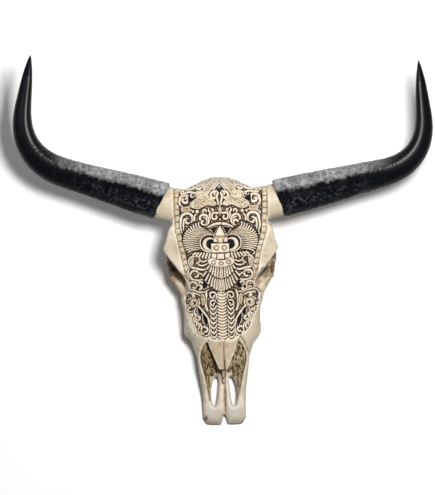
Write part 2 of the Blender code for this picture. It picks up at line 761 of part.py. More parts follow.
def dress(nodes):
    """Gives each node a material of its own and smooth shading up to its sharp edges."""
    for name, obj in nodes.items():
        look = BONE_LOOK
        if name.startswith("horn"):
            look = HORN_LOOK
        elif name.startswith(("turbinate", "vomer")):
            look = INNER_LOOK
        obj.data.materials.clear()
        obj.data.materials.append(material(name, *look))
        obj.data.shade_smooth()
        obj.data.set_sharp_from_angle(angle=math.radians(40))


def main():
    clear_scene()
    group = collection("buffalo_skull")
    bone, closed = blended_bone(group)
    nodes, room = nasal_bones(closed, group)
    boolean(bone, "DIFFERENCE", flat_prism("tip_gap", TIP_GAP_OUTLINE, TIP_GAP_LEVELS, LEFT, group), *room)
    boolean(bone, "UNION", *cheek_teeth(RIGHT, group), *cheek_teeth(LEFT, group))
    boolean(bone, "DIFFERENCE", floor_cutter(group))
    nodes.update(part_bone(bone, group))
    carve(nodes["cranium"], group)
    for name, side in SIDES.items():
        nodes["zygomatic_" + name] = zygomatic_arch("zygomatic_" + name, side, nodes, group)
    for name, side in SIDES.items():
        nodes["turbinate_" + name] = nose_floor("turbinate_" + name, side, nodes, group)
    nodes["vomer"] = vomer(nodes, group)
    for name, side in SIDES.items():
        horn = horn_sheath("horn_" + name, side, group)
        boolean(horn, "DIFFERENCE", grown(nodes["cranium"], "clear"))
        nodes["horn_" + name] = keep_largest(horn)
    rest_on_floor(nodes)
    dress(nodes)


main()
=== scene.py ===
"""A carved water buffalo skull on a pale floor: smooth bone, relief carving, teeth and ringed black horns."""
import math

import bpy
import numpy as np
from mathutils import Matrix, Vector
from mathutils.bvhtree import BVHTree


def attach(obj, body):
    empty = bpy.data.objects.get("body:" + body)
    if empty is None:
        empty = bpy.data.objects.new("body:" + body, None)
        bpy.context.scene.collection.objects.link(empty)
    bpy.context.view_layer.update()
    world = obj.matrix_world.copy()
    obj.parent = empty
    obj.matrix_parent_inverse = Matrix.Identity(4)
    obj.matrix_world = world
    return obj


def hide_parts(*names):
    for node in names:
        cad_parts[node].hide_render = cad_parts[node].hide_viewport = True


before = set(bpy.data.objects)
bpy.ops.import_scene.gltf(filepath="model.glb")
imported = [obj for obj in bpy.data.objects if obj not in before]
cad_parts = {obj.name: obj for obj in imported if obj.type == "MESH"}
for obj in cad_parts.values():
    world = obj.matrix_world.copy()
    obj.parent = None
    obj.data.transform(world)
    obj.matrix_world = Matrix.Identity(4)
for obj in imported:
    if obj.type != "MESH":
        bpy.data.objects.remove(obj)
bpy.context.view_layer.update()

MM = 0.001

# The skull frame has its origin at the middle of the crown and is counted in mm
# X goes to the photo's right, Y to the crown and Z out of the forehead
REST_TILT = math.radians(10)
CROWN_HEIGHT = 176 * MM
CROWN_PLACE = Vector((-0.0102875, 0.137816, 0.0))
TO_FLOOR = Matrix.Translation(CROWN_PLACE) @ Matrix.Rotation(REST_TILT, 4, "X") @ Matrix.Translation(
    (0, 0, CROWN_HEIGHT))
TO_SKULL = TO_FLOOR.inverted()
DOWN = Vector((0, 0, -1))

BONE_NODES = (
    "cranium", "maxilla_left", "maxilla_right", "nasal_left", "nasal_right",
    "premaxilla_left", "premaxilla_right", "zygomatic_left", "zygomatic_right",
)
JOIN_GROWTH = 0.25 * MM
BONE_VOXEL = 1.9 * MM
SPONGE_VOXEL = 0.9 * MM
CHEEK_MIDDLE, CHEEK_SPAN = -229, 34
CHEEK_NARROWING = {-1: 11, 1: 8}

# One step of the carving's layout, in mm; sideways from the middle and down from the crown
STEP = 2.02
FIELD_RIGHT = (
    (-14, 46), (0, 48), (36, 48), (54, 46.8), (65, 43.5), (78, 39.8), (90, 37), (102, 36.4), (110, 42),
    (116, 43), (124, 41), (132, 38), (138, 31), (150, 28), (156, 22), (160, 13), (164, 6),
)
FIELD_LEFT = (
    (-14, 44), (0, 46), (47, 46.2), (65, 43), (78, 40.3), (90, 37.6), (103, 37), (112, 39.4),
    (122, 39.4), (134, 36.5), (140, 34), (150, 30), (157, 26), (160, 16), (164, 6),
)
FIELD_SIDES = ((1, FIELD_RIGHT), (-1, FIELD_LEFT))
FIELD_MARGIN = 1.9
FIELD_END = 164.6
SEEN_SLOPE = 0.2
CROWN_BEND = 24
CROWN_REACH = math.radians(122)
COARSE_ROWS, COARSE_COLUMNS, FINER = 150, 76, 4
PANELS = {"carved_crown": (0, 0.36), "carved_brow": (0.36, 0.68), "carved_face": (0.68, 1)}

# The cut ground's depth, what a hole adds to it, the plate's thickness and rise, and its sunk rim, in mm
CARVING_DEPTH, HOLE_DEPTH = 3.4, 3.3
PLATE_DEPTH, PLATE_RISE = 13, 0.22
PLATE_RIM = (-2.4, -0.7, 0.05, 0.22)
# How far the bone sinks under the plates, from where in from their rims, over which way, and how near it is
SINK_DEPTH, SINK_START, SINK_SLOPE, SINK_REACH = 11.5, 3, 4.5, 4
SPARSE_ROW = 2.3

# The patches of sunk ground in the solids; the skin that is carved runs over them
SUNK_GROUND = (
    ((40, -36), (72, -38), (75, -58), (46, -58)),
    ((12, -68), (36, -66), (40, -90), (17, -94)),
    ((49, -70), (78, -68), (81, -92), (55, -94)),
    ((52, -106), (80, -103), (78, -128), (70, -148), (50, -136)),
    ((17, -124), (27, -120), (33, -131), (28, -146), (18, -143)),
    ((35, -160), (64, -158), (66, -180), (38, -184)),
    ((41, -191), (62, -189), (62, -203), (43, -203)),
)
SUNK_CROWN = ((0, -16), (16, -42), (7, -48), (-7, -48), (-16, -42))

HORNS = {
    "right": {"root": (117.5, -44), "length": 489, "headings": (17.6, 99.6), "bend": (292, 106), "slant": 11,
              "radii": (39.5, 37.8, 32, 28.6, 23.2, 16.6, 10, 5.2)},
    "left": {"root": (119, -44), "length": 492, "headings": (12.4, 94.4), "bend": (299, 96), "slant": 6,
             "radii": (39.5, 38, 33, 27, 21.6, 16, 9.6, 4.8)},
}
HORN_STAGES = (0, 0.12, 0.3, 0.5, 0.65, 0.8, 0.92, 0.97)
HORN_TIP, HORN_TIP_SHARE = 1.2, 0.985
HORN_SLANTED_PART = 60
HORN_LEVEL, HORN_SAG = -46, 16
HORN_EDGE, HORN_EDGE_TURN = 0.07, math.radians(55)
HORN_ALONG, HORN_AROUND = 760, 96
GRAIN_RADIUS = 30
# Centre, half width and soft edge of the dusty upper face, which also carries painted light, and of the streak
# that catches the light, a painted glint
DUSTY_LIT_FACET = (math.radians(24), math.radians(62), 0.42)
GLINT = (math.radians(122), math.radians(36), 0.5)

# The wedge between the nasal tips, the rounding of the bars and bulbs, and the nose's lowered tip
WEDGE_TOP, WEDGE_END, WEDGE_MIDDLE, WEDGE_DEPTH = -348, -388, 2.4, 5.5
ROUNDED_FROM, ROUNDED_REACH, ROUNDED_DROP = -386, 9, 6.5
BULBS_FROM, BULBS_REACH = -474, 6
TIP_FROM, TIP_LENGTH, TIP_DROP = -466, 32, 11
NOSE_UNDERSIDE, NOSE_THICK = 2, 21
ORBITS = ((-95, -176, -51), (95, -176, -51))
ORBIT_SPAN = (40, 27, 25)
NOSE_CENTRE, NOSE_SPAN = (0, -372, -45), (34, 58, 40)

# Seams of the bone as (across, along), and spots of staining and of painted shade as a place, a reach and a
# strength; the four on the cheeks below the eye sockets are painted shade
SEAMS = (
    ((2.0, -329), (1.2, -352), (1.6, -384)),
    ((2.6, -398), (2.2, -430), (1.8, -474)),
    ((-91, -186), (-84, -196), (-72, -212)),
    ((85, -182), (78, -192), (69, -212)),
    ((-28, -329), (-33, -318), (-44, -300)),
    ((31, -331), (37, -318), (46, -302)),
    ((-34, -419), (-31.5, -436), (-29.5, -452)),
    ((37, -320), (44, -333), (51, -352)),
)
DIRT_AND_SHADE_SPOTS = (
    ((-40, -488), 7, 0.8), ((-33, -499), 5, 0.6), ((42, -494), 4.5, 0.55), ((2, -404), 5, 0.4),
    ((72, -134), 7, 0.5), ((71, -152), 6, 0.55), ((92, -158), 7, 0.35), ((-99, -216), 14, 0.42),
    ((-88, -238), 12, 0.36), ((95, -210), 14, 0.42), ((84, -240), 12, 0.36), ((-46, -306), 8, 0.3),
    ((40, -300), 6, 0.4),
)

BONE_LIGHT, BONE_MIDDLE, BONE_TAN = (0.70, 0.615, 0.485), (0.63, 0.53, 0.385), (0.52, 0.41, 0.27)
# The pale tone of rubbed crests also serves as a painted highlight
BONE_GREY, BONE_WORN_HIGHLIGHT, CROWN_SHADE_GREY = (0.60, 0.575, 0.53), (0.86, 0.79, 0.67), (0.47, 0.44, 0.40)
SIDE_SHADE_BROWN, RUST = (0.30, 0.235, 0.165), (0.42, 0.26, 0.09)
# Dark grime and a blackened tone, used for staining and seams and also for painted shade in hollows, sockets,
# the nose and underneath
GRIME_AND_SHADE, BLACKENED_AND_SHADE = (0.13, 0.078, 0.036), (0.03, 0.018, 0.008)
CUT_BROWN, CUT_DARK, PATINA_AND_HOLE_SHADE = (0.15, 0.09, 0.05), (0.036, 0.023, 0.013), (0.008, 0.005, 0.003)
CARVING_AGED, SPONGE_AGED = (0.74, 0.64, 0.50), (0.55, 0.46, 0.36)
HORN_BLACK, HORN_BLUE = (0.0012, 0.0017, 0.003), (0.003, 0.0038, 0.006)
HORN_DUST, HORN_GLINT, RING_SHADE = (0.035, 0.036, 0.040), (0.085, 0.098, 0.12), (0.12, 0.12, 0.13)
CHALK_AND_LIGHT = ((0.36, (0.12, 0.123, 0.13)), (0.48, (0.29, 0.293, 0.30)), (0.66, (0.52, 0.523, 0.53)))
# A name, the tones of pits, flanks and crests, the dark of the pits partly painted shade, and how far the pits
# and fibres go in, in mm
SPONGY_BONES = {
    "turbinate_right": ("fibrous_bone", ((0.042, 0.026, 0.01), (0.145, 0.098, 0.042), (0.41, 0.31, 0.18)), 1.6),
    "turbinate_left": ("porous_bone", ((0.035, 0.022, 0.008), (0.23, 0.178, 0.095), (0.51, 0.43, 0.28)), 1.6),
    "vomer": ("keel_bone", ((0.16, 0.09, 0.05), (0.52, 0.41, 0.32), (0.70, 0.60, 0.52)), 0.6),
}
SPONGE_SIZE = 3.8

CAMERA_LENS, SENSOR_WIDTH, CLIP_END = 300, 36, 50
FRAME_HEIGHT_MM = 1000
VIEW_CENTRE = Vector((-6.4, -140.3, 0.0)) * MM
PHOTO_ROLL = 0.0237
KEY_PLACE, KEY_AIM = (0.56, 0.46, 3.12), (0, -0.1, 0)
SHEEN_PLACE = (-1.7, 0.4, 1.5)
FLOOR_SIZE, FLOOR_TONE = 14, (0.94, 0.94, 0.94, 1)
ROOM_TONE, ROOM_STRENGTH = (1, 0.95, 0.87, 1), 0.085


def deselect_all():
    """Nothing is selected, so that an operator acts only on what is chosen next."""
    for obj in bpy.context.selected_objects:
        obj.select_set(False)


def choose(*objects):
    """Selects these objects alone; the first is the active one."""
    deselect_all()
    for obj in objects:
        obj.select_set(True)
    bpy.context.view_layer.objects.active = objects[0]


def finish_with(obj, kind, **settings):
    """Adds a modifier and applies it."""
    choose(obj)
    bpy.ops.object.modifier_add(type=kind)
    modifier = obj.modifiers[-1]
    for name, value in settings.items():
        setattr(modifier, name, value)
    bpy.ops.object.modifier_apply(modifier=modifier.name)


def weld(obj, distance):
    """Merges corners that lie on one another."""
    choose(obj)
    bpy.ops.object.mode_set(mode="EDIT")
    bpy.ops.mesh.select_all(action="SELECT")
    bpy.ops.mesh.remove_doubles(threshold=distance)
    bpy.ops.object.mode_set(mode="OBJECT")


def close_border(obj, walls=False):
    """Closes a mesh's open borders with faces, at the end of a new wall if walls is set."""
    choose(obj)
    bpy.ops.object.mode_set(mode="EDIT")
    bpy.ops.mesh.select_mode(type="EDGE")
    bpy.ops.mesh.select_all(action="DESELECT")
    bpy.ops.mesh.select_non_manifold()
    if walls:
        bpy.ops.mesh.extrude_edges_move()
    bpy.ops.mesh.edge_face_add()
    bpy.ops.object.mode_set(mode="OBJECT")


def polish(obj):
    """Turns all faces outwards and shades them smooth."""
    choose(obj)
    bpy.ops.object.mode_set(mode="EDIT")
    bpy.ops.mesh.select_all(action="SELECT")
    bpy.ops.mesh.normals_make_consistent(inside=False)
    bpy.ops.object.mode_set(mode="OBJECT")
    bpy.ops.object.shade_smooth()


def vectors(rows, name):
    """One vector of each row of a mesh's data, as an array."""
    found = np.empty(len(rows) * 3)
    rows.foreach_get(name, found)
    return found.reshape(-1, 3)


def places(obj):
    """The corners of a mesh."""
    return vectors(obj.data.vertices, "co")


def directions(obj):
    """The normals of a mesh's corners."""
    return vectors(obj.data.vertex_normals, "vector")


def edge_ends(obj):
    """The two corners of each edge."""
    pairs = np.empty(len(obj.data.edges) * 2, np.int64)
    obj.data.edges.foreach_get("vertices", pairs)
    return pairs.reshape(-1, 2)


def place_corners(obj, corners):
    """Moves the corners of a mesh to these places."""
    obj.data.vertices.foreach_set("co", np.asarray(corners, float).ravel())
    obj.data.update()


def turned(points, matrix):
    """An array of points moved by a 4 x 4 matrix."""
    m = np.array(matrix)
    return points @ m[:3, :3].T + m[:3, 3]


def in_skull_frame(obj):
    """The corners of a mesh and their normals in the skull frame."""
    return turned(places(obj), TO_SKULL) / MM, directions(obj) @ np.array(TO_SKULL)[:3, :3].T


def put_back(obj, corners):
    """Moves the corners of a mesh to these places of the skull frame."""
    place_corners(obj, turned(corners * MM, TO_FLOOR))


def laid_grid(name, grid):
    """A new grid with its corners at a grid of places of the skull frame."""
    rows, columns = grid.shape[:2]
    deselect_all()
    bpy.ops.mesh.primitive_grid_add(x_subdivisions=columns - 1, y_subdivisions=rows - 1, size=1)
    made = bpy.context.active_object
    made.name = name
    put_back(made, grid.reshape(-1, 3))
    return made


def mark(obj, name, values):
    """Keeps one number per corner for the materials to read."""
    layer = obj.data.attributes.get(name) or obj.data.attributes.new(name, "FLOAT", "POINT")
    layer.data.foreach_set("value", np.asarray(values, np.float32).ravel())


def smoothly(t):
    """0 to 1 with soft ends."""
    t = np.clip(t, 0.0, 1.0)
    return t * t * (3 - 2 * t)


def grain(points, size, seed=0):
    """Soft random bumps from -1 to 1 that are about size across."""
    scaled = np.asarray(points, float) / size + 37.0 * (seed + 1)
    cell = np.floor(scaled).astype(np.int64)
    part = smoothly(scaled - cell)
    total = np.zeros(len(scaled))
    for corner in range(2 ** scaled.shape[1]):
        weight = np.ones(len(scaled))
        mixed = np.full(len(scaled), 1013 * (seed + 3), np.int64)
        for axis in range(scaled.shape[1]):
            step = (corner >> axis) & 1
            weight *= part[:, axis] if step else 1 - part[:, axis]
            mixed = (mixed ^ (cell[:, axis] + step)) * 1103515245 + 12345
            mixed = (mixed ^ (mixed >> 13)) & 0x7FFFFFFF
        total += weight * ((mixed % 65536) / 32768.0 - 1.0)
    return total


def between(table, key):
    """Reads a table of pairs at key."""
    rows = np.array(table, float)
    return np.interp(key, rows[:, 0], rows[:, 1])


def spaced(values, count):
    """A value, or a row of values, read at count even places."""
    return np.interp(np.linspace(0, 1, count), np.linspace(0, 1, np.size(values)), np.atleast_1d(values))


def spread(mask, times):
    """A mask grown by so many cells."""
    for _ in range(times):
        wide = np.pad(mask, 1)
        mask = wide[1:-1, 1:-1] | wide[:-2, 1:-1] | wide[2:, 1:-1] | wide[1:-1, :-2] | wide[1:-1, 2:]
    return mask


def inside_outline(outline, a, b):
    """Which of the places (a, b) lie inside a closed outline."""
    inside = np.zeros(a.shape, bool)
    for n in range(len(outline)):
        (a0, b0), (a1, b1) = outline[n - 1], outline[n]
        crosses = (b0 > b) != (b1 > b)
        inside ^= crosses & (a < (a1 - a0) * (b - b0) / (b1 - b0 + 1e-12) + a0)
    return inside


def blurred(grid, times, axis):
    """A grid softened along one axis, with its border kept straight."""
    for _ in range(times):
        first = 2 * np.take(grid, [0], axis) - np.take(grid, [1], axis)
        last = 2 * np.take(grid, [-1], axis) - np.take(grid, [-2], axis)
        wide = np.concatenate([first, grid, last], axis)
        count = grid.shape[axis]
        before, here, after = (np.take(wide, range(n, count + n), axis) for n in range(3))
        grid = 0.25 * before + 0.5 * here + 0.25 * after
    return grid


def softened(grid, times):
    """A grid softened along both axes."""
    return blurred(blurred(grid, times, 0), times, 1)


def finer(grid, times):
    """A grid with more rows and columns, still smooth."""
    for axis, count in enumerate(grid.shape[:2]):
        at = np.linspace(0, count - 1, (count - 1) * times + 1)
        low = np.minimum(at.astype(int), count - 2)
        shape = [1] * grid.ndim
        shape[axis] = len(at)
        part = (at - low).reshape(shape)
        grid = np.take(grid, low, axis) * (1 - part) + np.take(grid, low + 1, axis) * part
        grid = blurred(grid, 2 * times, axis)
    return grid


def skull_copy(node, name):
    """A welded copy of a CAD node's mesh, to be worked on."""
    obj = bpy.data.objects.new(name, bpy.data.objects[node].data.copy())
    bpy.context.scene.collection.objects.link(obj)
    obj.data.materials.clear()
    weld(obj, 0.01 * MM)
    return obj


def bone_body():
    """The bones as one smooth body: copies of the solids, grown until they meet and made one skin."""
    copies = [skull_copy(node, "skull_bone") for node in BONE_NODES]
    for obj in copies:
        place_corners(obj, places(obj) + directions(obj) * JOIN_GROWTH)
    choose(*copies)
    bpy.ops.object.join()
    bone = bpy.context.view_layer.objects.active
    bone.name = "skull_bone"
    finish_with(bone, "REMESH", mode="VOXEL", voxel_size=BONE_VOXEL)
    finish_with(bone, "LAPLACIANSMOOTH", lambda_factor=1.6, lambda_border=0, iterations=4)
    narrow_cheeks(bone)
    return bone


def narrow_cheeks(bone):
    """Draws the cheeks in a little below the eye sockets, where the carving comes to the outline."""
    corners, _ = in_skull_frame(bone)
    near = smoothly(1 - np.abs(corners[:, 1] - CHEEK_MIDDLE) / CHEEK_SPAN)
    for side, most in CHEEK_NARROWING.items():
        corners[:, 0] -= side * most * near * smoothly((side * corners[:, 0] - 60) / 32)
    put_back(bone, corners)


def tree_of(obj):
    """A search tree of a mesh in the skull frame."""
    corners, _ = in_skull_frame(obj)
    return BVHTree.FromPolygons([Vector(c) for c in corners], [tuple(p.vertices) for p in obj.data.polygons])


def met(tree, start, way):
    """Where a ray meets the bone, or None."""
    return tree.ray_cast(Vector(start), Vector(way))[0]


def crown_line(tree, across):
    """How far the crown reaches above each place across."""
    found = []
    for x in across:
        hits = [met(tree, (x, 120, z), (0, -1, 0)) for z in np.arange(-60, 14, 2.0)]
        found.append(min(max([-60.0, *(hit.y for hit in hits if hit)]), 2.0))
    found = np.array(found)
    for _ in range(6):
        padded = np.pad(found, 1, mode="edge")
        found = 0.25 * padded[:-2] + 0.5 * padded[1:-1] + 0.25 * padded[2:]
    return found


def widest(tree, y, side, wanted):
    """The way out from the middle that a look from above still sees at y, at most as wanted."""
    reach = 0.0
    for x in np.arange(10.0, wanted + 0.01, 1.0):
        hit, normal, _, _ = tree.ray_cast(Vector((side * x, y, 80)), DOWN)
        if hit is None or normal.z < SEEN_SLOPE:
            break
        reach = x
    return max(reach, 12.0) if reach < wanted - 1 else wanted


def skin_place(tree, u, v, crest):
    """Where the skin lies at (across, down); past the crown's edge the look turns over it."""
    start = CROWN_BEND - crest
    if v >= start:
        return met(tree, (u, -v, 90), DOWN)
    turn = (start - v) / CROWN_BEND
    above = met(tree, (u, -start, 90), DOWN)
    level = (above.z if above else 0.0) - CROWN_BEND
    out = Vector((0, math.sin(turn), math.cos(turn)))
    return met(tree, Vector((u, -start, level)) + out * 70, -out)


def carved_skin(bone):
    """The smooth skin that is carved: a grid of places in the skull frame, and its layout (across, down)."""
    tree = tree_of(bone)
    across = np.arange(-104.0, 104.1, 4.0)
    crowns = crown_line(tree, across)
    down = np.linspace(-0.6 * CROWN_BEND * (CROWN_REACH - 1.0) / 0.6, FIELD_END * STEP, COARSE_ROWS)
    edges = []
    for v in down:
        right, left = ((between(table, v / STEP) + FIELD_MARGIN) * STEP for _, table in FIELD_SIDES)
        y = -max(v, 60.0)
        edges.append((-widest(tree, y, -1, left), widest(tree, y, 1, right)))
    edges = blurred(np.array(edges), 4, 0)
    layout = np.zeros((COARSE_ROWS, COARSE_COLUMNS, 2))
    grid = np.full((COARSE_ROWS, COARSE_COLUMNS, 3), np.nan)
    for j, v in enumerate(down):
        for i, u in enumerate(np.linspace(edges[j, 0], edges[j, 1], COARSE_COLUMNS)):
            hit = skin_place(tree, u, v, np.interp(u, across, crowns))
            layout[j, i] = (u, v)
            if hit:
                grid[j, i] = hit
            else:
                grid[j, i] = grid[j - 1, i] if j else grid[j, i - 1]
    return filled_over(grid, layout), layout


def over_sunk_ground(layout):
    """Which places of the grid lie in or beside the sunk ground of the solids."""
    mirrored = [[(-a, b) for a, b in outline] for outline in SUNK_GROUND]
    sunk = np.zeros(layout.shape[:2], bool)
    for outline in (SUNK_CROWN, *SUNK_GROUND, *mirrored):
        sunk |= inside_outline(outline, layout[..., 0], -layout[..., 1])
    return spread(sunk, 2)


def surface_terms(grid):
    """The powers of across and along that a broad surface is made of."""
    x, y = grid[..., 0] / 100, grid[..., 1] / 300
    return np.stack([x ** i * y ** j for i in range(6) for j in range(6 - i)], -1)


def filled_over(grid, layout):
    """The skin led over the sunk ground: a broad surface through the rest, its small errors evened out."""
    sunk = over_sunk_ground(layout)
    flat = (~sunk) & (layout[..., 1] > 20)
    terms = surface_terms(grid)
    share = np.linalg.lstsq(terms[flat], grid[..., 2][flat], rcond=None)[0]
    error = np.where(sunk, 0.0, grid[..., 2] - terms @ share)
    for _ in range(400):
        wide = np.pad(error, 1, mode="edge")
        even = (wide[:-2, 1:-1] + wide[2:, 1:-1] + wide[1:-1, :-2] + wide[1:-1, 2:]) / 4
        error = np.where(sunk, even, error)
    grid[..., 0] = np.where(sunk, layout[..., 0], grid[..., 0])
    grid[..., 1] = np.where(sunk, -layout[..., 1], grid[..., 1])
    grid[..., 2] = np.where(sunk, surface_terms(grid) @ share + error, grid[..., 2])
    return grid


def outward(grid):
    """The way out of the skin at each place of the grid."""
    found = softened(np.cross(np.gradient(grid, axis=0), np.gradient(grid, axis=1)), 6)
    found /= np.linalg.norm(found, axis=-1, keepdims=True) + 1e-12
    middle = found[found.shape[0] // 2, found.shape[1] // 2]
    return found if middle[2] > 0 else -found


def drawn_at(relief, layout):
    """The drawing's height at each place of the grid, with the small errors of a carver's hand."""
    flat = (layout / STEP).reshape(-1, 2)
    a = flat[:, 0] + 0.22 * grain(flat, 11, 1) + 0.08 * grain(flat, 3.1, 2)
    b = flat[:, 1] + 0.22 * grain(flat, 11, 3) + 0.08 * grain(flat, 3.1, 4)
    x = np.clip((a - relief.LOW[0]) / relief.CELL, 0, relief.SHAPE[1] - 1.01)
    y = np.clip((b - relief.LOW[1]) / relief.CELL, 0, relief.SHAPE[0] - 1.01)
    i, j = x.astype(int), y.astype(int)
    s, t = x - i, y - j
    drawn = relief.height
    read = (
        drawn[j, i] * (1 - s) * (1 - t) + drawn[j, i + 1] * s * (1 - t)
        + drawn[j + 1, i] * (1 - s) * t + drawn[j + 1, i + 1] * s * t
    )
    read = read + 0.10 * grain(flat, 1.3, 5) * (read > 0.3)
    return read.reshape(layout.shape[:2])


def from_ends(count):
    """How many places each of a row is from its nearer end."""
    return np.minimum(np.arange(count), np.arange(count)[::-1])


def panel(name, skin, layout, out, height, part):
    """One closed plate of the carved skin: a grid laid on the skin, cut to the drawing, and given a back."""
    cut = np.where(height > 0, (height - 1) * CARVING_DEPTH, height * HOLE_DEPTH - CARVING_DEPTH) + PLATE_RISE
    inset = np.minimum(from_ends(skin.shape[1])[None, :], from_ends(skin.shape[0])[:, None])
    cut = np.minimum(cut, np.interp(inset, range(len(PLATE_RIM)), PLATE_RIM))
    plate = laid_grid(name, (skin + out * cut[..., None])[part])
    count = len(plate.data.vertices)
    close_border(plate, walls=True)
    corners = places(plate)
    pairs = np.sort(edge_ends(plate), 1)
    rise = pairs[(pairs[:, 0] < count) & (pairs[:, 1] >= count)]
    source = np.arange(len(corners))
    source[rise[:, 1]] = rise[:, 0]
    behind = turned((skin - out * PLATE_DEPTH)[part].reshape(-1, 3) * MM, TO_FLOOR)
    corners[count:] = behind[source[count:]]
    place_corners(plate, corners)
    looks = {
        "height": height,
        # A painted highlight on the crests of the relief, partly wear
        "edge": height - softened(height, 8),
        # Painted grey shade towards the crown's edge, where the bone rounds away
        "bleached": 0.5 * smoothly((11 - layout[..., 1] / STEP) / 9),
    }
    for look, grid in looks.items():
        values = np.zeros(len(corners))
        values[:count] = grid[part].ravel()
        mark(plate, look, values)
    polish(plate)
    rim = set(rise[:, 0].tolist())
    for edge in plate.data.edges:
        if edge.vertices[0] in rim and edge.vertices[1] in rim:
            edge.use_edge_sharp = True
    return plate


def carved_panels(bone, relief):
    """The carved plates, with the bone beneath them pushed in."""
    coarse, layout = carved_skin(bone)
    skin = finer(softened(coarse, 3), FINER)
    layout = finer(layout, FINER)
    out = outward(skin)
    height = drawn_at(relief, layout)
    last = skin.shape[0] - 1
    made = []
    for name, (low, high) in PANELS.items():
        part = slice(round(low * last), round(high * last) + 1)
        made.append(panel(name, skin, layout, out, height, part))
    sink_under(bone, skin[::FINER, ::FINER], out[::FINER, ::FINER])
    return made


def sink_under(bone, skin, out):
    """Pushes the bone in under the plates, so that only the plates show there."""
    rows, columns = skin.shape[:2]
    faces = [
        (j * columns + i, j * columns + i + 1, (j + 1) * columns + i + 1, (j + 1) * columns + i)
        for j in range(rows - 1) for i in range(columns - 1)
    ]
    tree = BVHTree.FromPolygons([Vector(c) for c in skin.reshape(-1, 3)], faces)
    corners, _ = in_skull_frame(bone)
    for n, corner in enumerate(corners):
        spot, _, face, _ = tree.find_nearest(Vector(corner), SINK_REACH)
        if spot is None:
            continue
        j, i = divmod(face, columns - 1)
        width = np.linalg.norm(skin[j, 0] - skin[j, -1]) / (columns - 1)
        inset = min((min(i, columns - 2 - i) + 0.5) * width, (min(j, rows - 2 - j) + 0.5) * SPARSE_ROW)
        corners[n] = corner - out[j, i] * SINK_DEPTH * float(smoothly((inset - SINK_START) / SINK_SLOPE))
    put_back(bone, corners)


def arc(centre, radius, start, end, count=18, squash=1.0):
    """Points on an arc whose radius may change along it; angles go clockwise from the right."""
    turns = np.radians(np.linspace(start, end, count))
    pairs = zip(spaced(radius, count), turns)
    return [(centre[0] + r * math.cos(t), centre[1] + squash * r * math.sin(t)) for r, t in pairs]


def curve(*points, count=16):
    """A soft curve through a few points."""
    points = np.array(points, float)
    found = []
    ends = np.vstack([2 * points[0] - points[1], points, 2 * points[-1] - points[-2]])
    for n in range(1, len(ends) - 2):
        for t in np.linspace(0, 1, max(count // (len(points) - 1), 4), endpoint=n == len(ends) - 3):
            p0, p1, p2, p3 = ends[n - 1:n + 3]
            found.append(tuple(
                0.5 * (2 * p1 + (p2 - p0) * t + (2 * p0 - 5 * p1 + 4 * p2 - p3) * t ** 2
                       + (3 * p1 - p0 - 3 * p2 + p3) * t ** 3)))
    return found


def sweep(start, leaves, end, arrives, count=14):
    """A curve from start to end that leaves and arrives at these angles, anticlockwise from the right."""
    start, end = np.array(start, float), np.array(end, float)
    hold = 0.4 * np.hypot(*(end - start))
    first = start + hold * np.array((math.cos(leaves), -math.sin(leaves)))
    last = end - hold * np.array((math.cos(arrives), -math.sin(arrives)))
    t = np.linspace(0, 1, count)[:, None]
    return start * (1 - t) ** 3 + 3 * first * t * (1 - t) ** 2 + 3 * last * t * t * (1 - t) + end * t ** 3


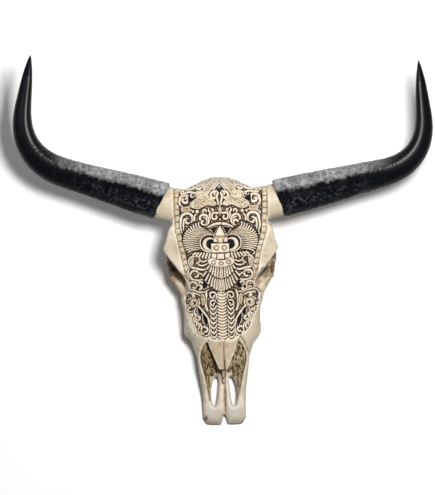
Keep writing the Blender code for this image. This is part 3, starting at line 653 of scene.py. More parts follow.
class Relief:
    """A drawing of the carving, in steps: 1 is the bone's level, 0 the cut ground, below 0 a pierced hole."""

    CELL = 0.2
    LOW = (-52.0, -14.0)
    SHAPE = (911, 521)

    def __init__(self):
        down = self.LOW[1] + self.CELL * np.arange(self.SHAPE[0])
        across = self.LOW[0] + self.CELL * np.arange(self.SHAPE[1])
        self.a, self.b = np.meshgrid(across, down)
        right, left = (between(table, down)[:, None] for _, table in FIELD_SIDES)
        self.inset = np.where(self.a > 0, right - self.a, self.a + left)
        self.height = np.where(self.inset > 0, 0.26 + 0.16 * smoothly((12 - self.b) / 8), 1.0)
        self.side = 1
        self.bold = 1.0

    def placed(self, points):
        """Points as an array, on the side that is drawn."""
        return np.array(points, float) * (self.side, 1)

    def window(self, points, pad):
        """The part of the drawing that holds these points."""
        low = (points.min(0) - pad - np.array(self.LOW)) / self.CELL
        high = (points.max(0) + pad - np.array(self.LOW)) / self.CELL
        rows = slice(max(int(low[1]), 0), min(int(high[1]) + 2, self.SHAPE[0]))
        columns = slice(max(int(low[0]), 0), min(int(high[0]) + 2, self.SHAPE[1]))
        return rows, columns

    def lay(self, at, gap, height, clear):
        """Puts a raised form over what is there already, with a cut margin round it."""
        under = self.height[at]
        if clear:
            under = np.where(under > 0, under * smoothly(gap / clear), under)
        body = smoothly(0.5 - gap / 0.34)
        self.height[at] = under * (1 - body) + height * body

    def stroke(self, points, width, level=1.0, groove=0.0, clear=0.55, dome=0.25, rim=0.0):
        """A raised ridge along points, with a line down its middle if groove is set."""
        points = self.placed(points)
        widths = spaced(width, len(points)) * self.bold
        at = self.window(points, widths.max() + clear + 0.4)
        a, b = self.a[at], self.b[at]
        share, away, gap = (np.full(a.shape, 99.0) for _ in range(3))
        for n in range(len(points) - 1):
            start, way = points[n], points[n + 1] - points[n]
            length = max(way @ way, 1e-9)
            t = np.clip(((a - start[0]) * way[0] + (b - start[1]) * way[1]) / length, 0, 1)
            far = np.hypot(a - start[0] - t * way[0], b - start[1] - t * way[1])
            wide = widths[n] + (widths[n + 1] - widths[n]) * t
            nearer = far / wide < share
            share = np.where(nearer, far / wide, share)
            away = np.where(nearer, far, away)
            gap = np.where(nearer, far - wide, gap)
        height = level * (1 - dome * share ** 2) - groove * np.exp(-(away / 0.26) ** 2)
        height = height + rim * np.exp(-((share - 0.8) / 0.14) ** 2)
        self.lay(at, gap, height, clear)

    def rib(self, width, *points, **look):
        """A raised ridge along a soft curve."""
        self.stroke(curve(*points), width, **look)

    def scroll(self, centre, radius, start, turn, width, *tail, inner=0.34, eye=1.25):
        """A ridge that runs in along its tail, winds round towards the centre and ends in a round eye."""
        course = arc(centre, (radius, radius * 0.94, radius * 0.78, radius * inner), start, start + turn, 30)
        if tail:
            course = curve(*tail, course[0], count=12)[:-1] + course
        self.stroke(course, (width * 0.4, width, width, width * 0.95, width * 0.9), clear=0.8)
        self.disc(course[-1], width * eye, clear=0)

    def comma(self, spot, size, turn):
        """A small hooked leaf at a spot that keeps its place; only the leaf is mirrored with the side."""
        points = arc((spot[0] * self.side, spot[1]), (size, size * 0.85, size * 0.4), turn, turn + 230, 12)
        self.stroke(points, (size * 0.14, size * 0.34, size * 0.4), clear=0.45)

    def leaf(self, root, tip, width, bend, veins):
        """A broad leaf from its root to its tip, with a middle vein and side veins cut into it."""
        root, tip = np.array(root, float), np.array(tip, float)
        way = tip - root
        length = np.hypot(*way)
        side = np.array((-way[1], way[0])) / length
        spine = curve(root, (root + tip) / 2 + side * bend * length, tip, count=14)
        self.stroke(spine, (width * 0.5, width, width * 0.9, width * 0.1), level=0.95, dome=0.3, clear=0.7)
        self.stroke(spine[:-2], 0.2, level=0.4, clear=0, dome=0)
        for n in range(veins):
            at = np.array(spine[2 + n * 10 // veins])
            for hand in (-1, 1):
                end = at + side * hand * width * 0.75 + way / length * width * 0.7
                self.stroke([at, end], 0.15, level=0.5, clear=0, dome=0)

    def disc(self, centre, radius, level=1.0, clear=0.45, dome=0.3, ring=0.0):
        """A round stud, with a cut circle in it if ring is set."""
        centre = self.placed(centre)
        at = self.window(centre[None], radius + clear + 0.4)
        far = np.hypot(self.a[at] - centre[0], self.b[at] - centre[1])
        height = level * (1 - dome * (far / radius) ** 2)
        if ring:
            height = height - 0.5 * np.exp(-((far - ring) / 0.24) ** 2)
        self.lay(at, far - radius, height, clear)

    def block(self, centre, half, turn=0.0, level=1.0, clear=0.4, dome=0.2):
        """A raised block with round corners."""
        centre, half = self.placed(centre), np.array(half, float)
        at = self.window(centre[None], np.hypot(*half) + clear + 0.4)
        turn = math.radians(turn) * self.side
        x, y = self.a[at] - centre[0], self.b[at] - centre[1]
        p = np.abs(x * math.cos(turn) + y * math.sin(turn)) - half[0] + 0.5
        q = np.abs(y * math.cos(turn) - x * math.sin(turn)) - half[1] + 0.5
        gap = np.hypot(np.maximum(p, 0), np.maximum(q, 0)) + np.minimum(np.maximum(p, q), 0) - 0.5
        share = 1 + gap / half.min()
        self.lay(at, gap, level * (1 - dome * np.clip(share, 0, 1) ** 2), clear)

    def hole(self, outline, depth=1.7):
        """A pierced hole; at depth 0 an area of cut ground, and below that a raised one."""
        outline = self.placed(outline)
        at = self.window(outline, 0.6)
        inside = inside_outline(outline, self.a[at], self.b[at])
        self.height[at] = np.where(inside, -depth, self.height[at])

    def teardrop(self, top, bottom, width, bend):
        """A pierced hole, pointed at both ends."""
        top, bottom = np.array(top, float), np.array(bottom, float)
        way = bottom - top
        side = np.array((-way[1], way[0]))
        middle = (top + bottom) / 2 + side * bend
        out = side / np.hypot(*way) * width
        self.hole(curve(top, middle + out, bottom, count=10) + curve(bottom, middle - out, top, count=10))


def bead_bands(relief):
    """The incised line and the row of low square beads down each side of the field."""
    band = (relief.inset > 0) & (relief.inset < 5.6) & (relief.b < 108)
    relief.height = np.where(band, 0.64, relief.height)
    line = np.exp(-((relief.inset + 0.2) / 0.26) ** 2) * smoothly((110 - relief.b) / 3)
    relief.height = relief.height - 0.42 * line
    inner = np.exp(-((relief.inset - 5.9) / 0.4) ** 2) * (relief.b < 108)
    relief.height = np.minimum(relief.height, 1 - 0.95 * inner)
    for side, table in FIELD_SIDES:
        relief.side = side
        for n, b in enumerate(np.arange(-10, 107, 6.25)):
            spot = (between(table, b) - 2.95, b + 0.4 * math.sin(n * 2.3))
            slope = math.degrees(math.atan2(between(table, b - 3) - between(table, b + 3), 6.0))
            relief.block(spot, (2.1, 2.6), turn=slope, clear=0.25, dome=0.12, level=0.84)


def curls_beside_beads(relief):
    """A chain of small curls along the inner side of the beads on the right, plain ones and mirrored ones."""
    for side, table in FIELD_SIDES:
        relief.side = side
        for n, b in enumerate(np.arange(16.0, 106.0, 4.9)):
            relief.comma((between(table, b) - 9.0 - 0.7 * (n % 2), b), 2.3, 40 + 150 * (n % 3))


def crown(relief):
    """Half of the arch over the crown: a broad flat leg, half a pierced heart and the scrolls beside them."""
    relief.block((18.6, 1), (4, 8), turn=-30, level=0.66, dome=0)
    relief.scroll((19.8, 7), 4.3, 170, 330, 1.25, (14.4, -3), (15, 3))
    relief.scroll((29.6, 4.6), 4.6, 60, 330, 1.2, (36.4, 12.4), (35.4, 7))
    relief.scroll((14.6, -9.4), 4.6, 20, -330, 1.2, (21.8, -1.4), (20.6, -6))
    relief.scroll((26.6, -8.8), 5, 200, 330, 1.2)
    relief.scroll((38.6, -5.4), 5, 200, 330, 1.2)
    relief.scroll((40, 6.4), 3.6, 90, 330, 1.1)
    relief.rib((0.5, 1, 0.5), (22.4, 0.4), (25, -1.6), (28.6, -2), clear=0.4)
    leg = ((2.6, -12), (3.8, -4), (8.2, 4.4), (13.6, 13))
    relief.stroke(leg, (2.6, 3.5, 4, 3), level=0.66, dome=0, rim=0.42, clear=0.9)
    relief.stroke(((0, 2), (2.8, 6.6), (7.6, 13.8), (9.2, 18.8)), 0.75, clear=0.6)
    relief.hole(((0, 9.4), (1.3, 7.8), (2.9, 7.6), (3.9, 9.2), (2.3, 12), (0, 14.2)))
    relief.scroll((5.4, 17), 3.5, -95, 330, 1.15, (0.9, 15.6), (2.2, 13.4), eye=1.15)
    relief.rib(0.95, (1.5, 14.8), (2.6, 18.4), (1.7, 22.6), (1.3, 26))
    relief.scroll((35.2, 20.3), 4.8, -30, -330, 1.2, (36, 29), (40.2, 24.6))
    relief.hole(((23.6, 20.2), (31.4, 15.8), (31.6, 23.6)))
    relief.rib(1.1, (24, 14.4), (30, 12.8), (38.4, 12.6))
    relief.block((34.4, 30.4), (4.6, 2.6), turn=10, level=0.8, dome=0)
    relief.block((34.4, 30.4), (3.2, 1.3), turn=10, level=0.62, clear=0, dome=0)


BROAD_LEAF = (
    (6.6, 20.4), (10.6, 17), (14, 12.6), (20.6, 11.2), (24.6, 14.4), (23.4, 19.4), (27.6, 22.4),
    (30.4, 26.6), (27.2, 29.6), (21, 30.6), (16.6, 28.6), (12.2, 26.6), (7.6, 27.8), (2.8, 26),
)


def speckle(relief, outline):
    """Fine short cuts all over a broad form."""
    before = relief.height.copy()
    relief.hole(outline, 9)
    inside = relief.height < -5
    spots = np.stack([relief.a[inside], relief.b[inside]], -1)
    cuts = smoothly(np.abs(grain(spots * (1, 1.6), 1.9, 41)) * 2.4) * smoothly(grain(spots, 1.1, 43) + 0.9)
    before[inside] = 0.66 + 0.24 * cuts
    relief.height = before


def broad_leaves(relief):
    """A broad, low, finely lined leaf under the crown arch, over two knobs."""
    relief.hole(curve(*BROAD_LEAF, BROAD_LEAF[0], count=80), -0.86)
    speckle(relief, BROAD_LEAF)
    for root, tip in (((10, 19), (27, 27.4)), ((14.6, 22), (22.6, 29.2))):
        middle = ((root[0] + tip[0]) / 2, (root[1] + tip[1]) / 2 - 1.2)
        relief.stroke(curve(root, middle, tip, count=12), 0.22, level=0.5, clear=0, dome=0)
    relief.disc((22.6, 33.2), 2, dome=0.35)
    relief.disc((27, 33), 1.6, dome=0.35)


def scroll_rows(relief):
    """The rows of scrolls above the fan."""
    relief.scroll((8.6, 31.6), 2.9, -60, 300, 0.9)
    relief.scroll((14.8, 33), 2.5, 120, -300, 0.85)
    relief.scroll((29.6, 34), 2.6, 160, 300, 0.85)
    relief.scroll((26, 51.4), 2.4, 60, 300, 0.8)
    relief.scroll((33, 41), 6.6, -20, -300, 1.15, (38.4, 54.5), (40, 47), inner=0.3)
    relief.rib((0.4, 0.9, 1, 0.5), (36.6, 52.6), (37, 45.6), (35.6, 40.6), (32, 39.6))
    relief.scroll((17, 41.4), 6.2, 80, 310, 1.1, (28.6, 45.6), (22.4, 49.6), inner=0.3)
    relief.rib((0.4, 0.9, 0.4), (13.4, 44.6), (13.6, 40.4), (17, 38.6))
    relief.rib((0.5, 0.95, 0.95, 0.5), (23.4, 35.4), (25.8, 38.6), (25.6, 42.6), (28, 46.6))
    relief.scroll((5, 38.2), 3.7, -120, 320, 0.95, (2.6, 29.4), (0.9, 33.6))
    relief.rib((0.4, 0.9, 0.5), (8.8, 33.4), (10.4, 36.4), (9.2, 40.6))


def stem(relief):
    """The short stem and knob between the rows of scrolls."""
    relief.stroke(((0, 26), (0, 31), (0, 37.5)), (0.5, 0.95, 0.4))
    relief.disc((0, 41.4), 1.1)


FEATHERS, SKIRT_BLOCKS = 15, 6


def fan(relief):
    """Long curved feathers that spread from the ring of a hook, and a skirt of short blocks below them."""
    relief.hole(arc((14, 61), (19, 24, 25, 23), -80, 45, 20) + [(14, 78), (8, 60)], 0)
    for n in range(FEATHERS):
        share = n / (FEATHERS - 1)
        near, out = math.radians(118 - 150 * share), math.radians(69 - 104 * share)
        start = (12 + 9.0 * math.cos(near), 65.2 - 9.4 * math.sin(near))
        end = (12.4 + 24.8 * math.cos(out), 62.4 - 19.4 * math.sin(out))
        leaves = near - math.radians(62) * (1 - share) + math.radians(14) * share
        arrives = out + math.radians(40) * (1 - share) - math.radians(2) * share
        relief.stroke(sweep(start, leaves, end, arrives), (0.45, 0.72, 0.95, 1), clear=0.5, dome=0.5)
    for n in range(SKIRT_BLOCKS):
        a = 10.6 + 2.9 * n
        ends = ((a + 0.2, 75.6 - 0.25 * n), (a + 1.7 + 0.25 * n, 80.6 - 0.85 * n))
        relief.stroke(ends, 1.05, clear=0.3)


def hooks(relief):
    """A big pierced hook beside the spire, with the plates next to it."""
    relief.disc((12.2, 65), 9.4, level=0, clear=0, dome=0)
    relief.stroke(arc((12, 64.8), 8.7, -165, 118, 30), (0.4, 0.8, 0.8, 0.8), clear=0.5)
    hook = arc((11.2, 65.8), (6.2, 5.4, 5, 5.4, 6.2), -150, 112, 26)
    relief.stroke(hook, (0.3, 1.2, 2, 1.7, 0.7), clear=0.3)
    relief.hole(arc((9.6, 66.2), (4.4, 4.2, 3.9, 4.4), -140, 110, 16, 1.15) + [(7.5, 72), (6.5, 64)])
    relief.scroll((5.9, 57.4), 1.6, -200, 300, 0.5)
    relief.hole(((2.5, 48.6), (10.4, 50), (6.3, 55.8)))
    relief.rib((1.5, 1.4, 0.8), (0, 45.2), (6.2, 46.2), (12.4, 49), level=0.92, dome=0.15)
    relief.block((4.9, 61.6), (2.1, 2.6), turn=-8)
    relief.block((6.8, 78), (2.5, 2.7), turn=-6)


def plates(relief):
    """The spire and the studded plates at the middle of the field."""
    relief.stroke(((-0.4, 48), (-0.4, 57.6)), (0.5, 5.2), dome=0.12, clear=0.5)
    relief.rib(0.5, (-5.6, 58.3), (-0.4, 59), (5.2, 58.3), level=0.85)
    relief.block((-0.2, 62.2), (2.4, 2.7))
    relief.block((-0.4, 70), (9, 4.5), dome=0.1)
    relief.block((-0.2, 78.4), (3.6, 2.9))
    relief.rib(3.5, (-9.6, 83.4), (-4.8, 85.2), (0.2, 85.8), (5.2, 85.2), (10.2, 83.4), dome=0.1)
    for spot in ((-4.4, 70), (3.6, 70)):
        relief.disc(spot, 2.5, clear=0.35, ring=1.75)
    for spot in ((-7.4, 84.6), (0.1, 85.8), (7.6, 84.4)):
        relief.disc(spot, 2.3, clear=0.35, ring=1.6)


# How many petals hang in a bowl, and its rims at their roots and tips: half width, lowest point, rise
TIERS = (
    (15, (13.4, 100.6, 8.4), (18.4, 112.4, 14.6)),
    (12, (11.6, 89.6, 2.6), (13.8, 99.6, 9.2)),
)


def bowl(rim, share):
    """A place on the rim of a bowl."""
    return rim[0] * share, rim[1] - rim[2] * abs(share) ** 2.1


def tiers(relief):
    """Two bowls of hanging petals under the lower plate, the lower one first."""
    across = np.linspace(-1, 1, 17)
    for petals, roots, tips in TIERS:
        edge = [(a * 1.06, b + 1.9) for a, b in (bowl(tips, s) for s in across[::-1])]
        relief.hole([bowl(roots, s) for s in across] + edge, 0)
        for n in range(petals):
            share = 2 * n / (petals - 1) - 1
            relief.stroke([bowl(roots, share), bowl(tips, share)], (0.8, 1.12, 1.36), clear=0.4, dome=0.55)
        top, foot = roots[1] + 0.5, tips[1] + 0.2
        middle = ((0, top), (0, (top + foot) / 2), (0, foot))
        relief.stroke(middle, (0.9, 2, 1.3), groove=0.7, dome=0.1, clear=0.5)


def side_scrolls(relief):
    """The scrolls beside the plates and the petals."""
    relief.scroll((25.6, 83.2), 7, 95, -330, 1.05, (11.6, 88.4), (17.5, 91.6), inner=0.3)
    relief.leaf((29.4, 87), (27.2, 79), 1.7, 0.12, 0)
    relief.rib((0.3, 0.75, 0.7, 0.5), (12.4, 84.6), (17, 87.2), (21.6, 86.8), (24.2, 83.6))
    relief.rib((0.3, 0.75, 0.7, 0.5), (12.4, 80.8), (16.6, 83.4), (20.4, 82.6), (22.2, 79.2))
    relief.scroll((26.4, 96.8), 5.2, 95, -350, 1.02, (16.6, 99.6), (21.4, 102))
    relief.rib((0.3, 0.8, 0.5), (15, 94.6), (18.6, 96.4), (22.6, 94.4))
    relief.rib((0.3, 0.75, 0.4), (31.6, 89.6), (33.4, 94), (32.8, 100))
    relief.scroll((28.4, 107.6), 4.7, 95, -380, 1.02, (12.8, 111.4), (17.5, 113.9), (23.4, 113.4))
    relief.hole(curve((15.2, 104.2), (17.4, 102.6), (20.2, 104), (21, 107.4), (18.6, 110.6), (15.6, 109.4),
                      (14.4, 106.6), (15.2, 104.2)))
    relief.stroke(arc((20.6, 105.2), (2.4, 2, 1.2), 100, -170, 12), (0.4, 0.75, 0.8), clear=0.3)
    relief.comma((33.4, 84), 1.8, 40)
    relief.comma((35, 104.6), 2.2, 300)


def face_scrolls(relief):
    """The scrolls, stems and long leaves that run down a side of the face."""
    relief.scroll((33, 118.8), 4.9, 150, 340, 1.02, (20.4, 118.6), (25.4, 115.6), (29.6, 114.9))
    relief.hole(curve((34.4, 113.4), (38, 115), (38, 120.4), (34.8, 122.4), (35.4, 117.4), (34.4, 113.4)))
    relief.rib((0.3, 0.75, 0.75, 0.6), (19.6, 116.6), (26, 112.4), (33.4, 111.2), (38.6, 114.6), (37.6, 121.8))
    relief.disc((28.2, 125), 5.2, level=0.9, dome=0.3, clear=0.7)
    relief.disc((28.8, 124.4), 2.3, level=0, dome=0, clear=0)
    relief.stroke(arc((28.6, 124.6), (2.4, 1.2), -140, 60, 9), (0.4, 0.8, 0.6), clear=0)
    relief.rib((0.7, 1.3, 1.1, 0.9), (14.9, 112.2), (16.2, 119), (16.4, 126.4), (14.6, 132.6))
    relief.leaf((19.6, 116.6), (19.4, 127.6), 2, 0.06, 2)
    relief.rib((0.4, 0.75, 0.4), (23.4, 119.6), (22.6, 125.4), (24, 129.4))
    relief.rib((0.7, 1.25, 1, 0.85, 0.7), (24.2, 127.6), (18.6, 135), (14.2, 142), (12.4, 149.6), (14.6, 156.6),
               (19, 158))
    relief.scroll((18.2, 152.4), 4, 60, -330, 0.98, (25.6, 149.6), (23.6, 156))
    relief.teardrop((25.2, 128.4), (22.6, 139.4), 2.3, 0.08)
    relief.teardrop((20.4, 134), (16.2, 149.4), 2.4, 0.06)
    relief.scroll((24.6, 139.4), 3, -60, 300, 0.98, (27, 129.6), (28.4, 134.6))
    for n in range(4):
        relief.rib((0.4, 0.82, 0.5), (22.6 + 2.3 * n, 144.8 - 1.9 * n), (21.2 + 2.4 * n, 150.0 - 2.2 * n),
                   (22.8 + 2.0 * n, 155.0 - 3.4 * n), clear=0.45)
    for n, spot in enumerate(((36.8, 125.6), (34.6, 130.4), (31, 132.8), (30.6, 137.4))):
        relief.comma(spot, 2, 60 * n)
    relief.disc((25.4, 156.6), 1.2)
    relief.disc((21.8, 158.8), 1.1)
    relief.comma((36.6, 107.6), 1.6, 220)


SPINE_GROUND = ((-12.4, 112), (12.4, 112), (13, 140), (12, 157), (6.4, 160), (-6.4, 160), (-12, 157), (-13, 140))


def hearts(relief):
    """A row of hooked hearts beside the spine."""
    relief.scroll((9, 117.4), 3.5, -170, 330, 0.98, (7.2, 122.4), (5.4, 119.6))
    relief.scroll((9, 125.2), 3.2, -170, 330, 0.95)
    for n in range(7):
        b = 158.0 - 4.7 * n
        relief.rib((0.5, 0.95, 1.1, 0.95, 0.5), (5.6, b - 2.6), (6.6, b + 0.2), (8.9, b + 1.7), (11.2, b + 0.2),
                   (12.2, b - 2.6), clear=0.4)
        relief.disc((8.9, b - 1.7), 0.95, clear=0.3)


def spine(relief):
    """The stacked crescents down the middle of the face."""
    for n in range(16):
        b = 113.6 + 3.06 * n
        relief.rib((0.9, 1.35, 1.45, 1.35, 0.9), (-4.3, b - 0.8), (-2.2, b + 0.5), (0, b + 0.9), (2.2, b + 0.5),
                   (4.3, b - 0.8), clear=0.25, dome=0.4)


def fill_empty(relief):
    """Small hooked leaves where a wide patch of ground would be left bare."""
    inside = (relief.inset > 6.6) | ((relief.b > 108) & (relief.inset > 2.5))
    for reach, size, lowest in ((16, 3.2, 170), (12, 2.4, 28)):
        empty = (np.abs(relief.height - 0.16) < 0.2) & inside & (relief.b < lowest) & (relief.b > 14)
        room = np.zeros(empty.shape)
        for _ in range(reach):
            room += empty
            empty = empty & ~spread(~empty, 1)
        taken = []
        for row, column in np.argwhere(room >= reach - 3)[::3]:
            if all(math.hypot(row - r, column - c) > 2.6 * size / relief.CELL for r, c in taken):
                taken.append((row, column))
        for n, spot in enumerate(taken):
            relief.comma((relief.a[spot], relief.b[spot]), size, 97 * n)


def lead_in_border(relief):
    """At the lower border the bone comes in to the scrolls, with only a thin cut round them."""
    raised = spread((relief.height > 0.5) & (relief.inset > 0), 4)
    bone = (relief.inset <= 0) & (relief.b > 126)
    ground = (relief.b > 126) & (np.abs(relief.height) < 0.6) & ~raised
    for _ in range(34):
        bone = bone | (spread(bone, 1) & ground)
    filled = bone & (relief.inset > -1.5) & ~raised
    relief.height = np.where(filled, np.maximum(relief.height, 0.97), relief.height)


def fill_wide_ground(relief):
    """Between forms that stand far apart the ground rises to a low, worn level, with a dark cut round it."""
    raised = (relief.height > 0.5) | (relief.inset < 0.6)
    ground = ~raised & (relief.height > -0.2)
    away = np.zeros(raised.shape)
    for n in range(9):
        away += ~raised
        wide = np.pad(raised, 1)
        raised = spread(raised, 1)
        if n % 2:
            raised = raised | wide[:-2, :-2] | wide[:-2, 2:] | wide[2:, :-2] | wide[2:, 2:]
    spots = np.stack([relief.a.ravel(), relief.b.ravel()], -1)
    low = 0.56 + 0.14 * grain(spots, 1.7, 61).reshape(away.shape)
    share = smoothly((away * relief.CELL - 0.84) / 0.5)
    filled = relief.height * (1 - share) + np.maximum(low, relief.height) * share
    relief.height = np.where(ground, filled, relief.height)


def on_both_sides(relief, *halves):
    """Draws each half right of the middle and then mirrored left of it."""
    for draw in halves:
        for side in (1, -1):
            relief.side = side
            draw(relief)
    relief.side = 1


def carving():
    """The whole relief; what is drawn later lies over what was drawn before."""
    relief = Relief()
    bead_bands(relief)
    curls_beside_beads(relief)
    relief.bold = 1.22
    on_both_sides(relief, scroll_rows)
    stem(relief)
    on_both_sides(relief, crown, broad_leaves, side_scrolls, face_scrolls)
    relief.bold = 1.0
    on_both_sides(relief, fan)
    relief.hole(SPINE_GROUND, 0)
    on_both_sides(relief, hearts)
    spine(relief)
    tiers(relief)
    on_both_sides(relief, hooks)
    plates(relief)
    fill_empty(relief)
    lead_in_border(relief)
    fill_wide_ground(relief)
    return relief


def horn_course(sizes):
    """The middle line of a horn: place, heading and distance from the root, at each ring."""
    (x, y), (low, high), (middle, half) = sizes["root"], sizes["headings"], sizes["bend"]
    pace = sizes["length"] / HORN_ALONG / 2
    course, walked = [], 0.0
    for n in range(2 * HORN_ALONG + 1):
        heading = math.radians(low + (high - low) * float(smoothly((walked - middle + half) / (2 * half))))
        if n % 2 == 0:
            course.append((x, y, heading, walked))
        x += math.cos(heading) * pace
        y += math.sin(heading) * pace
        walked += pace
    return np.array(course).T


def monotone(table, key):
    """Reads a table along key without overshoot, with soft changes between its rows."""
    x, y = np.array(table, float).T
    rise = np.diff(y) / np.diff(x)
    slope = np.concatenate([[rise[0]], (rise[1:] + rise[:-1]) / 2, [rise[-1]]])
    n = np.clip(np.searchsorted(x, key) - 1, 0, len(x) - 2)
    span = x[n + 1] - x[n]
    t = (key - x[n]) / span
    return (
        y[n] * (1 + 2 * t) * (1 - t) ** 2 + y[n + 1] * t * t * (3 - 2 * t)
        + span * (slope[n] * t * (1 - t) ** 2 + slope[n + 1] * t * t * (t - 1))
    )


def horn_rings(walked, turn, radius, share, hand):
    """How far the rough growth rings stand out."""
    along, around = np.meshgrid(walked, turn, indexing="ij")
    cosine, sine = np.cos(around), np.sin(around)
    circle = np.stack([cosine * GRAIN_RADIUS + hand * 200, sine * GRAIN_RADIUS, along * 0.35], -1)
    circle = circle.reshape(-1, 3)
    sway = 4.6 * grain(circle, 20, 7).reshape(along.shape) + 1.2 * grain(circle, 7, 8).reshape(along.shape)
    line = np.stack([(along + sway).ravel(), cosine.ravel() * 3.0], -1)
    broad = 1 - np.abs(grain(line, 8.5, 11)).reshape(along.shape) * 1.6
    fine = 1 - np.abs(grain(line * (1, 1.4), 3.1, 12)).reshape(along.shape) * 1.7
    rough = grain(circle * (1, 1, 3), 3.4, 13).reshape(along.shape)
    fade = smoothly((0.70 - share) / 0.36)[:, None] * smoothly(walked / 5.0 + 0.35)[:, None]
    base = (0.72 * broad + 0.42 * fine + 0.3 * rough) * fade * np.minimum(radius / 30, 1.0)[:, None]
    swell = grain(np.stack([walked, walked * 0], -1), 38, 14)[:, None]
    return base - 0.55 + 0.5 * swell * smoothly((0.9 - share) / 0.2)[:, None]


def lit_band(turn, band, uneven=0.0):
    """1 where a turn round the horn lies in a band, falling to 0 over its soft edge."""
    centre, half, edge = band
    off = np.abs((turn - centre + math.pi) % (2 * math.pi) - math.pi)
    return smoothly((half - off + uneven) / edge)


def horn(side):
    """A black horn: a grid rolled round its course, with rough rings that fade towards a smooth tip."""
    sizes = HORNS[side]
    hand = 1 if side == "left" else -1
    x, y, heading, walked = horn_course(sizes)
    share = walked / sizes["length"]
    stages = [*zip(HORN_STAGES, sizes["radii"]), (1.0, HORN_TIP)]
    radius = monotone(stages, np.minimum(share, 1.0))
    tip = ((share - HORN_TIP_SHARE) / (1 - HORN_TIP_SHARE)).clip(0, 1)
    round_tip = np.sqrt(np.clip(1 - tip ** 2, 0.03, 1))
    lip = 1 - 0.07 * smoothly(1 - walked / 5.0) ** 2
    turn = np.linspace(0, 2 * math.pi, HORN_AROUND + 1)
    rings = horn_rings(walked, turn, radius, share, hand)
    size = (radius * round_tip * lip)[:, None] + rings
    edge = 1 + HORN_EDGE * np.cos(3 * (turn - HORN_EDGE_TURN))
    out = size * (edge * np.cos(turn) - HORN_EDGE * math.cos(3 * HORN_EDGE_TURN))
    lift = size * (edge * np.sin(turn))
    slant = math.tan(math.radians(sizes["slant"])) * np.maximum(0.0, 1 - walked / HORN_SLANTED_PART)
    back = -out * slant[:, None]
    ahead, aside = np.cos(heading)[:, None], np.sin(heading)[:, None]
    level = HORN_LEVEL - HORN_SAG * np.sin(math.pi * np.minimum(share * 1.1, 1.0))
    across = x[:, None] - out * aside + back * ahead
    along = y[:, None] + out * ahead + back * aside
    made = laid_grid("horn_sheath_" + side, np.stack([hand * across, along, level[:, None] + lift], -1))
    mark(made, "along", np.repeat(share, HORN_AROUND + 1))
    mark(made, "ridge", smoothly((rings + 0.55) / 1.1))
    walks, turns = np.meshgrid(walked, turn, indexing="ij")
    spots = (np.cos(turns) * GRAIN_RADIUS + hand * 90, np.sin(turns) * GRAIN_RADIUS, walks)
    spots = np.stack(spots, -1).reshape(-1, 3)
    uneven = 0.12 * grain(spots, 18, 15) + 0.10 * grain(spots, 5, 16)
    # The upper face is dusty and lit by painted light; the streak below it is a painted glint
    facet = lit_band(turn, DUSTY_LIT_FACET, uneven.reshape(walks.shape))
    mark(made, "facet", facet * smoothly((0.58 - share) / 0.34)[:, None])
    mark(made, "glint", lit_band(turn, GLINT) * smoothly((0.46 - share) / 0.3)[:, None])
    weld(made, 0.02 * MM)
    close_border(made)
    polish(made)
    return made


def inner_bone(node, strength):
    """A spongy inner bone: a copy of the solid, made one fine skin and eaten into by pits and long fibres."""
    obj = skull_copy(node, "spongy_" + node)
    finish_with(obj, "REMESH", mode="VOXEL", voxel_size=SPONGE_VOXEL)
    finish_with(obj, "SMOOTH", factor=0.5, iterations=4)
    corners, ways = places(obj), directions(obj)
    spots = corners / MM
    fibres = grain(spots * (1, 0.2, 1), SPONGE_SIZE * 0.62, 21)
    pits = grain(spots * (1, 0.7, 1), SPONGE_SIZE, 23)
    depth = 0.8 * fibres + 0.6 * np.minimum(pits + 0.1, 0.1) + 0.16 * grain(spots, SPONGE_SIZE * 0.4, 22)
    place_corners(obj, corners + ways * (depth * strength * MM)[:, None])
    mark(obj, "depth", smoothly((depth + 0.9) / 1.4))
    polish(obj)
    return obj


def hollows(obj, times):
    """How far each corner lies in a hollow (above 0) or on a ridge (below 0)."""
    first, second = edge_ends(obj).T
    corners = places(obj) / MM
    count = np.bincount(np.concatenate([first, second]), minlength=len(corners))[:, None].clip(1)
    soft = corners.copy()
    for _ in range(times):
        total = np.zeros_like(soft)
        np.add.at(total, first, soft[second])
        np.add.at(total, second, soft[first])
        soft = total / count
    return np.einsum("ij,ij->i", soft - corners, directions(obj))


def near_line(corners, line, width):
    """1 on a line of places (across, along), falling to 0 a width away from it."""
    gap = np.full(len(corners), 99.0)
    for (x0, y0), (x1, y1) in zip(line, line[1:]):
        way = np.array((x1 - x0, y1 - y0))
        x, y = corners[:, 0] - x0, corners[:, 1] - y0
        t = np.clip((x * way[0] + y * way[1]) / (way @ way), 0, 1)
        gap = np.minimum(gap, np.hypot(x - t * way[0], y - t * way[1]))
    return np.exp(-(gap / width) ** 2)


def empty_places(bone):
    """The places (across, along), 1 mm apart, where a look from above meets no bone round the nose's end."""
    tree = tree_of(bone)
    across, along = np.arange(-52, 53), np.arange(-524, -384)
    seen = np.array([[met(tree, (x, y, 60), DOWN) is not None for x in across] for y in along])
    seen[:, across == 2] = False
    rows, columns = np.nonzero(~seen)
    return np.stack([across[columns], along[rows]], -1)


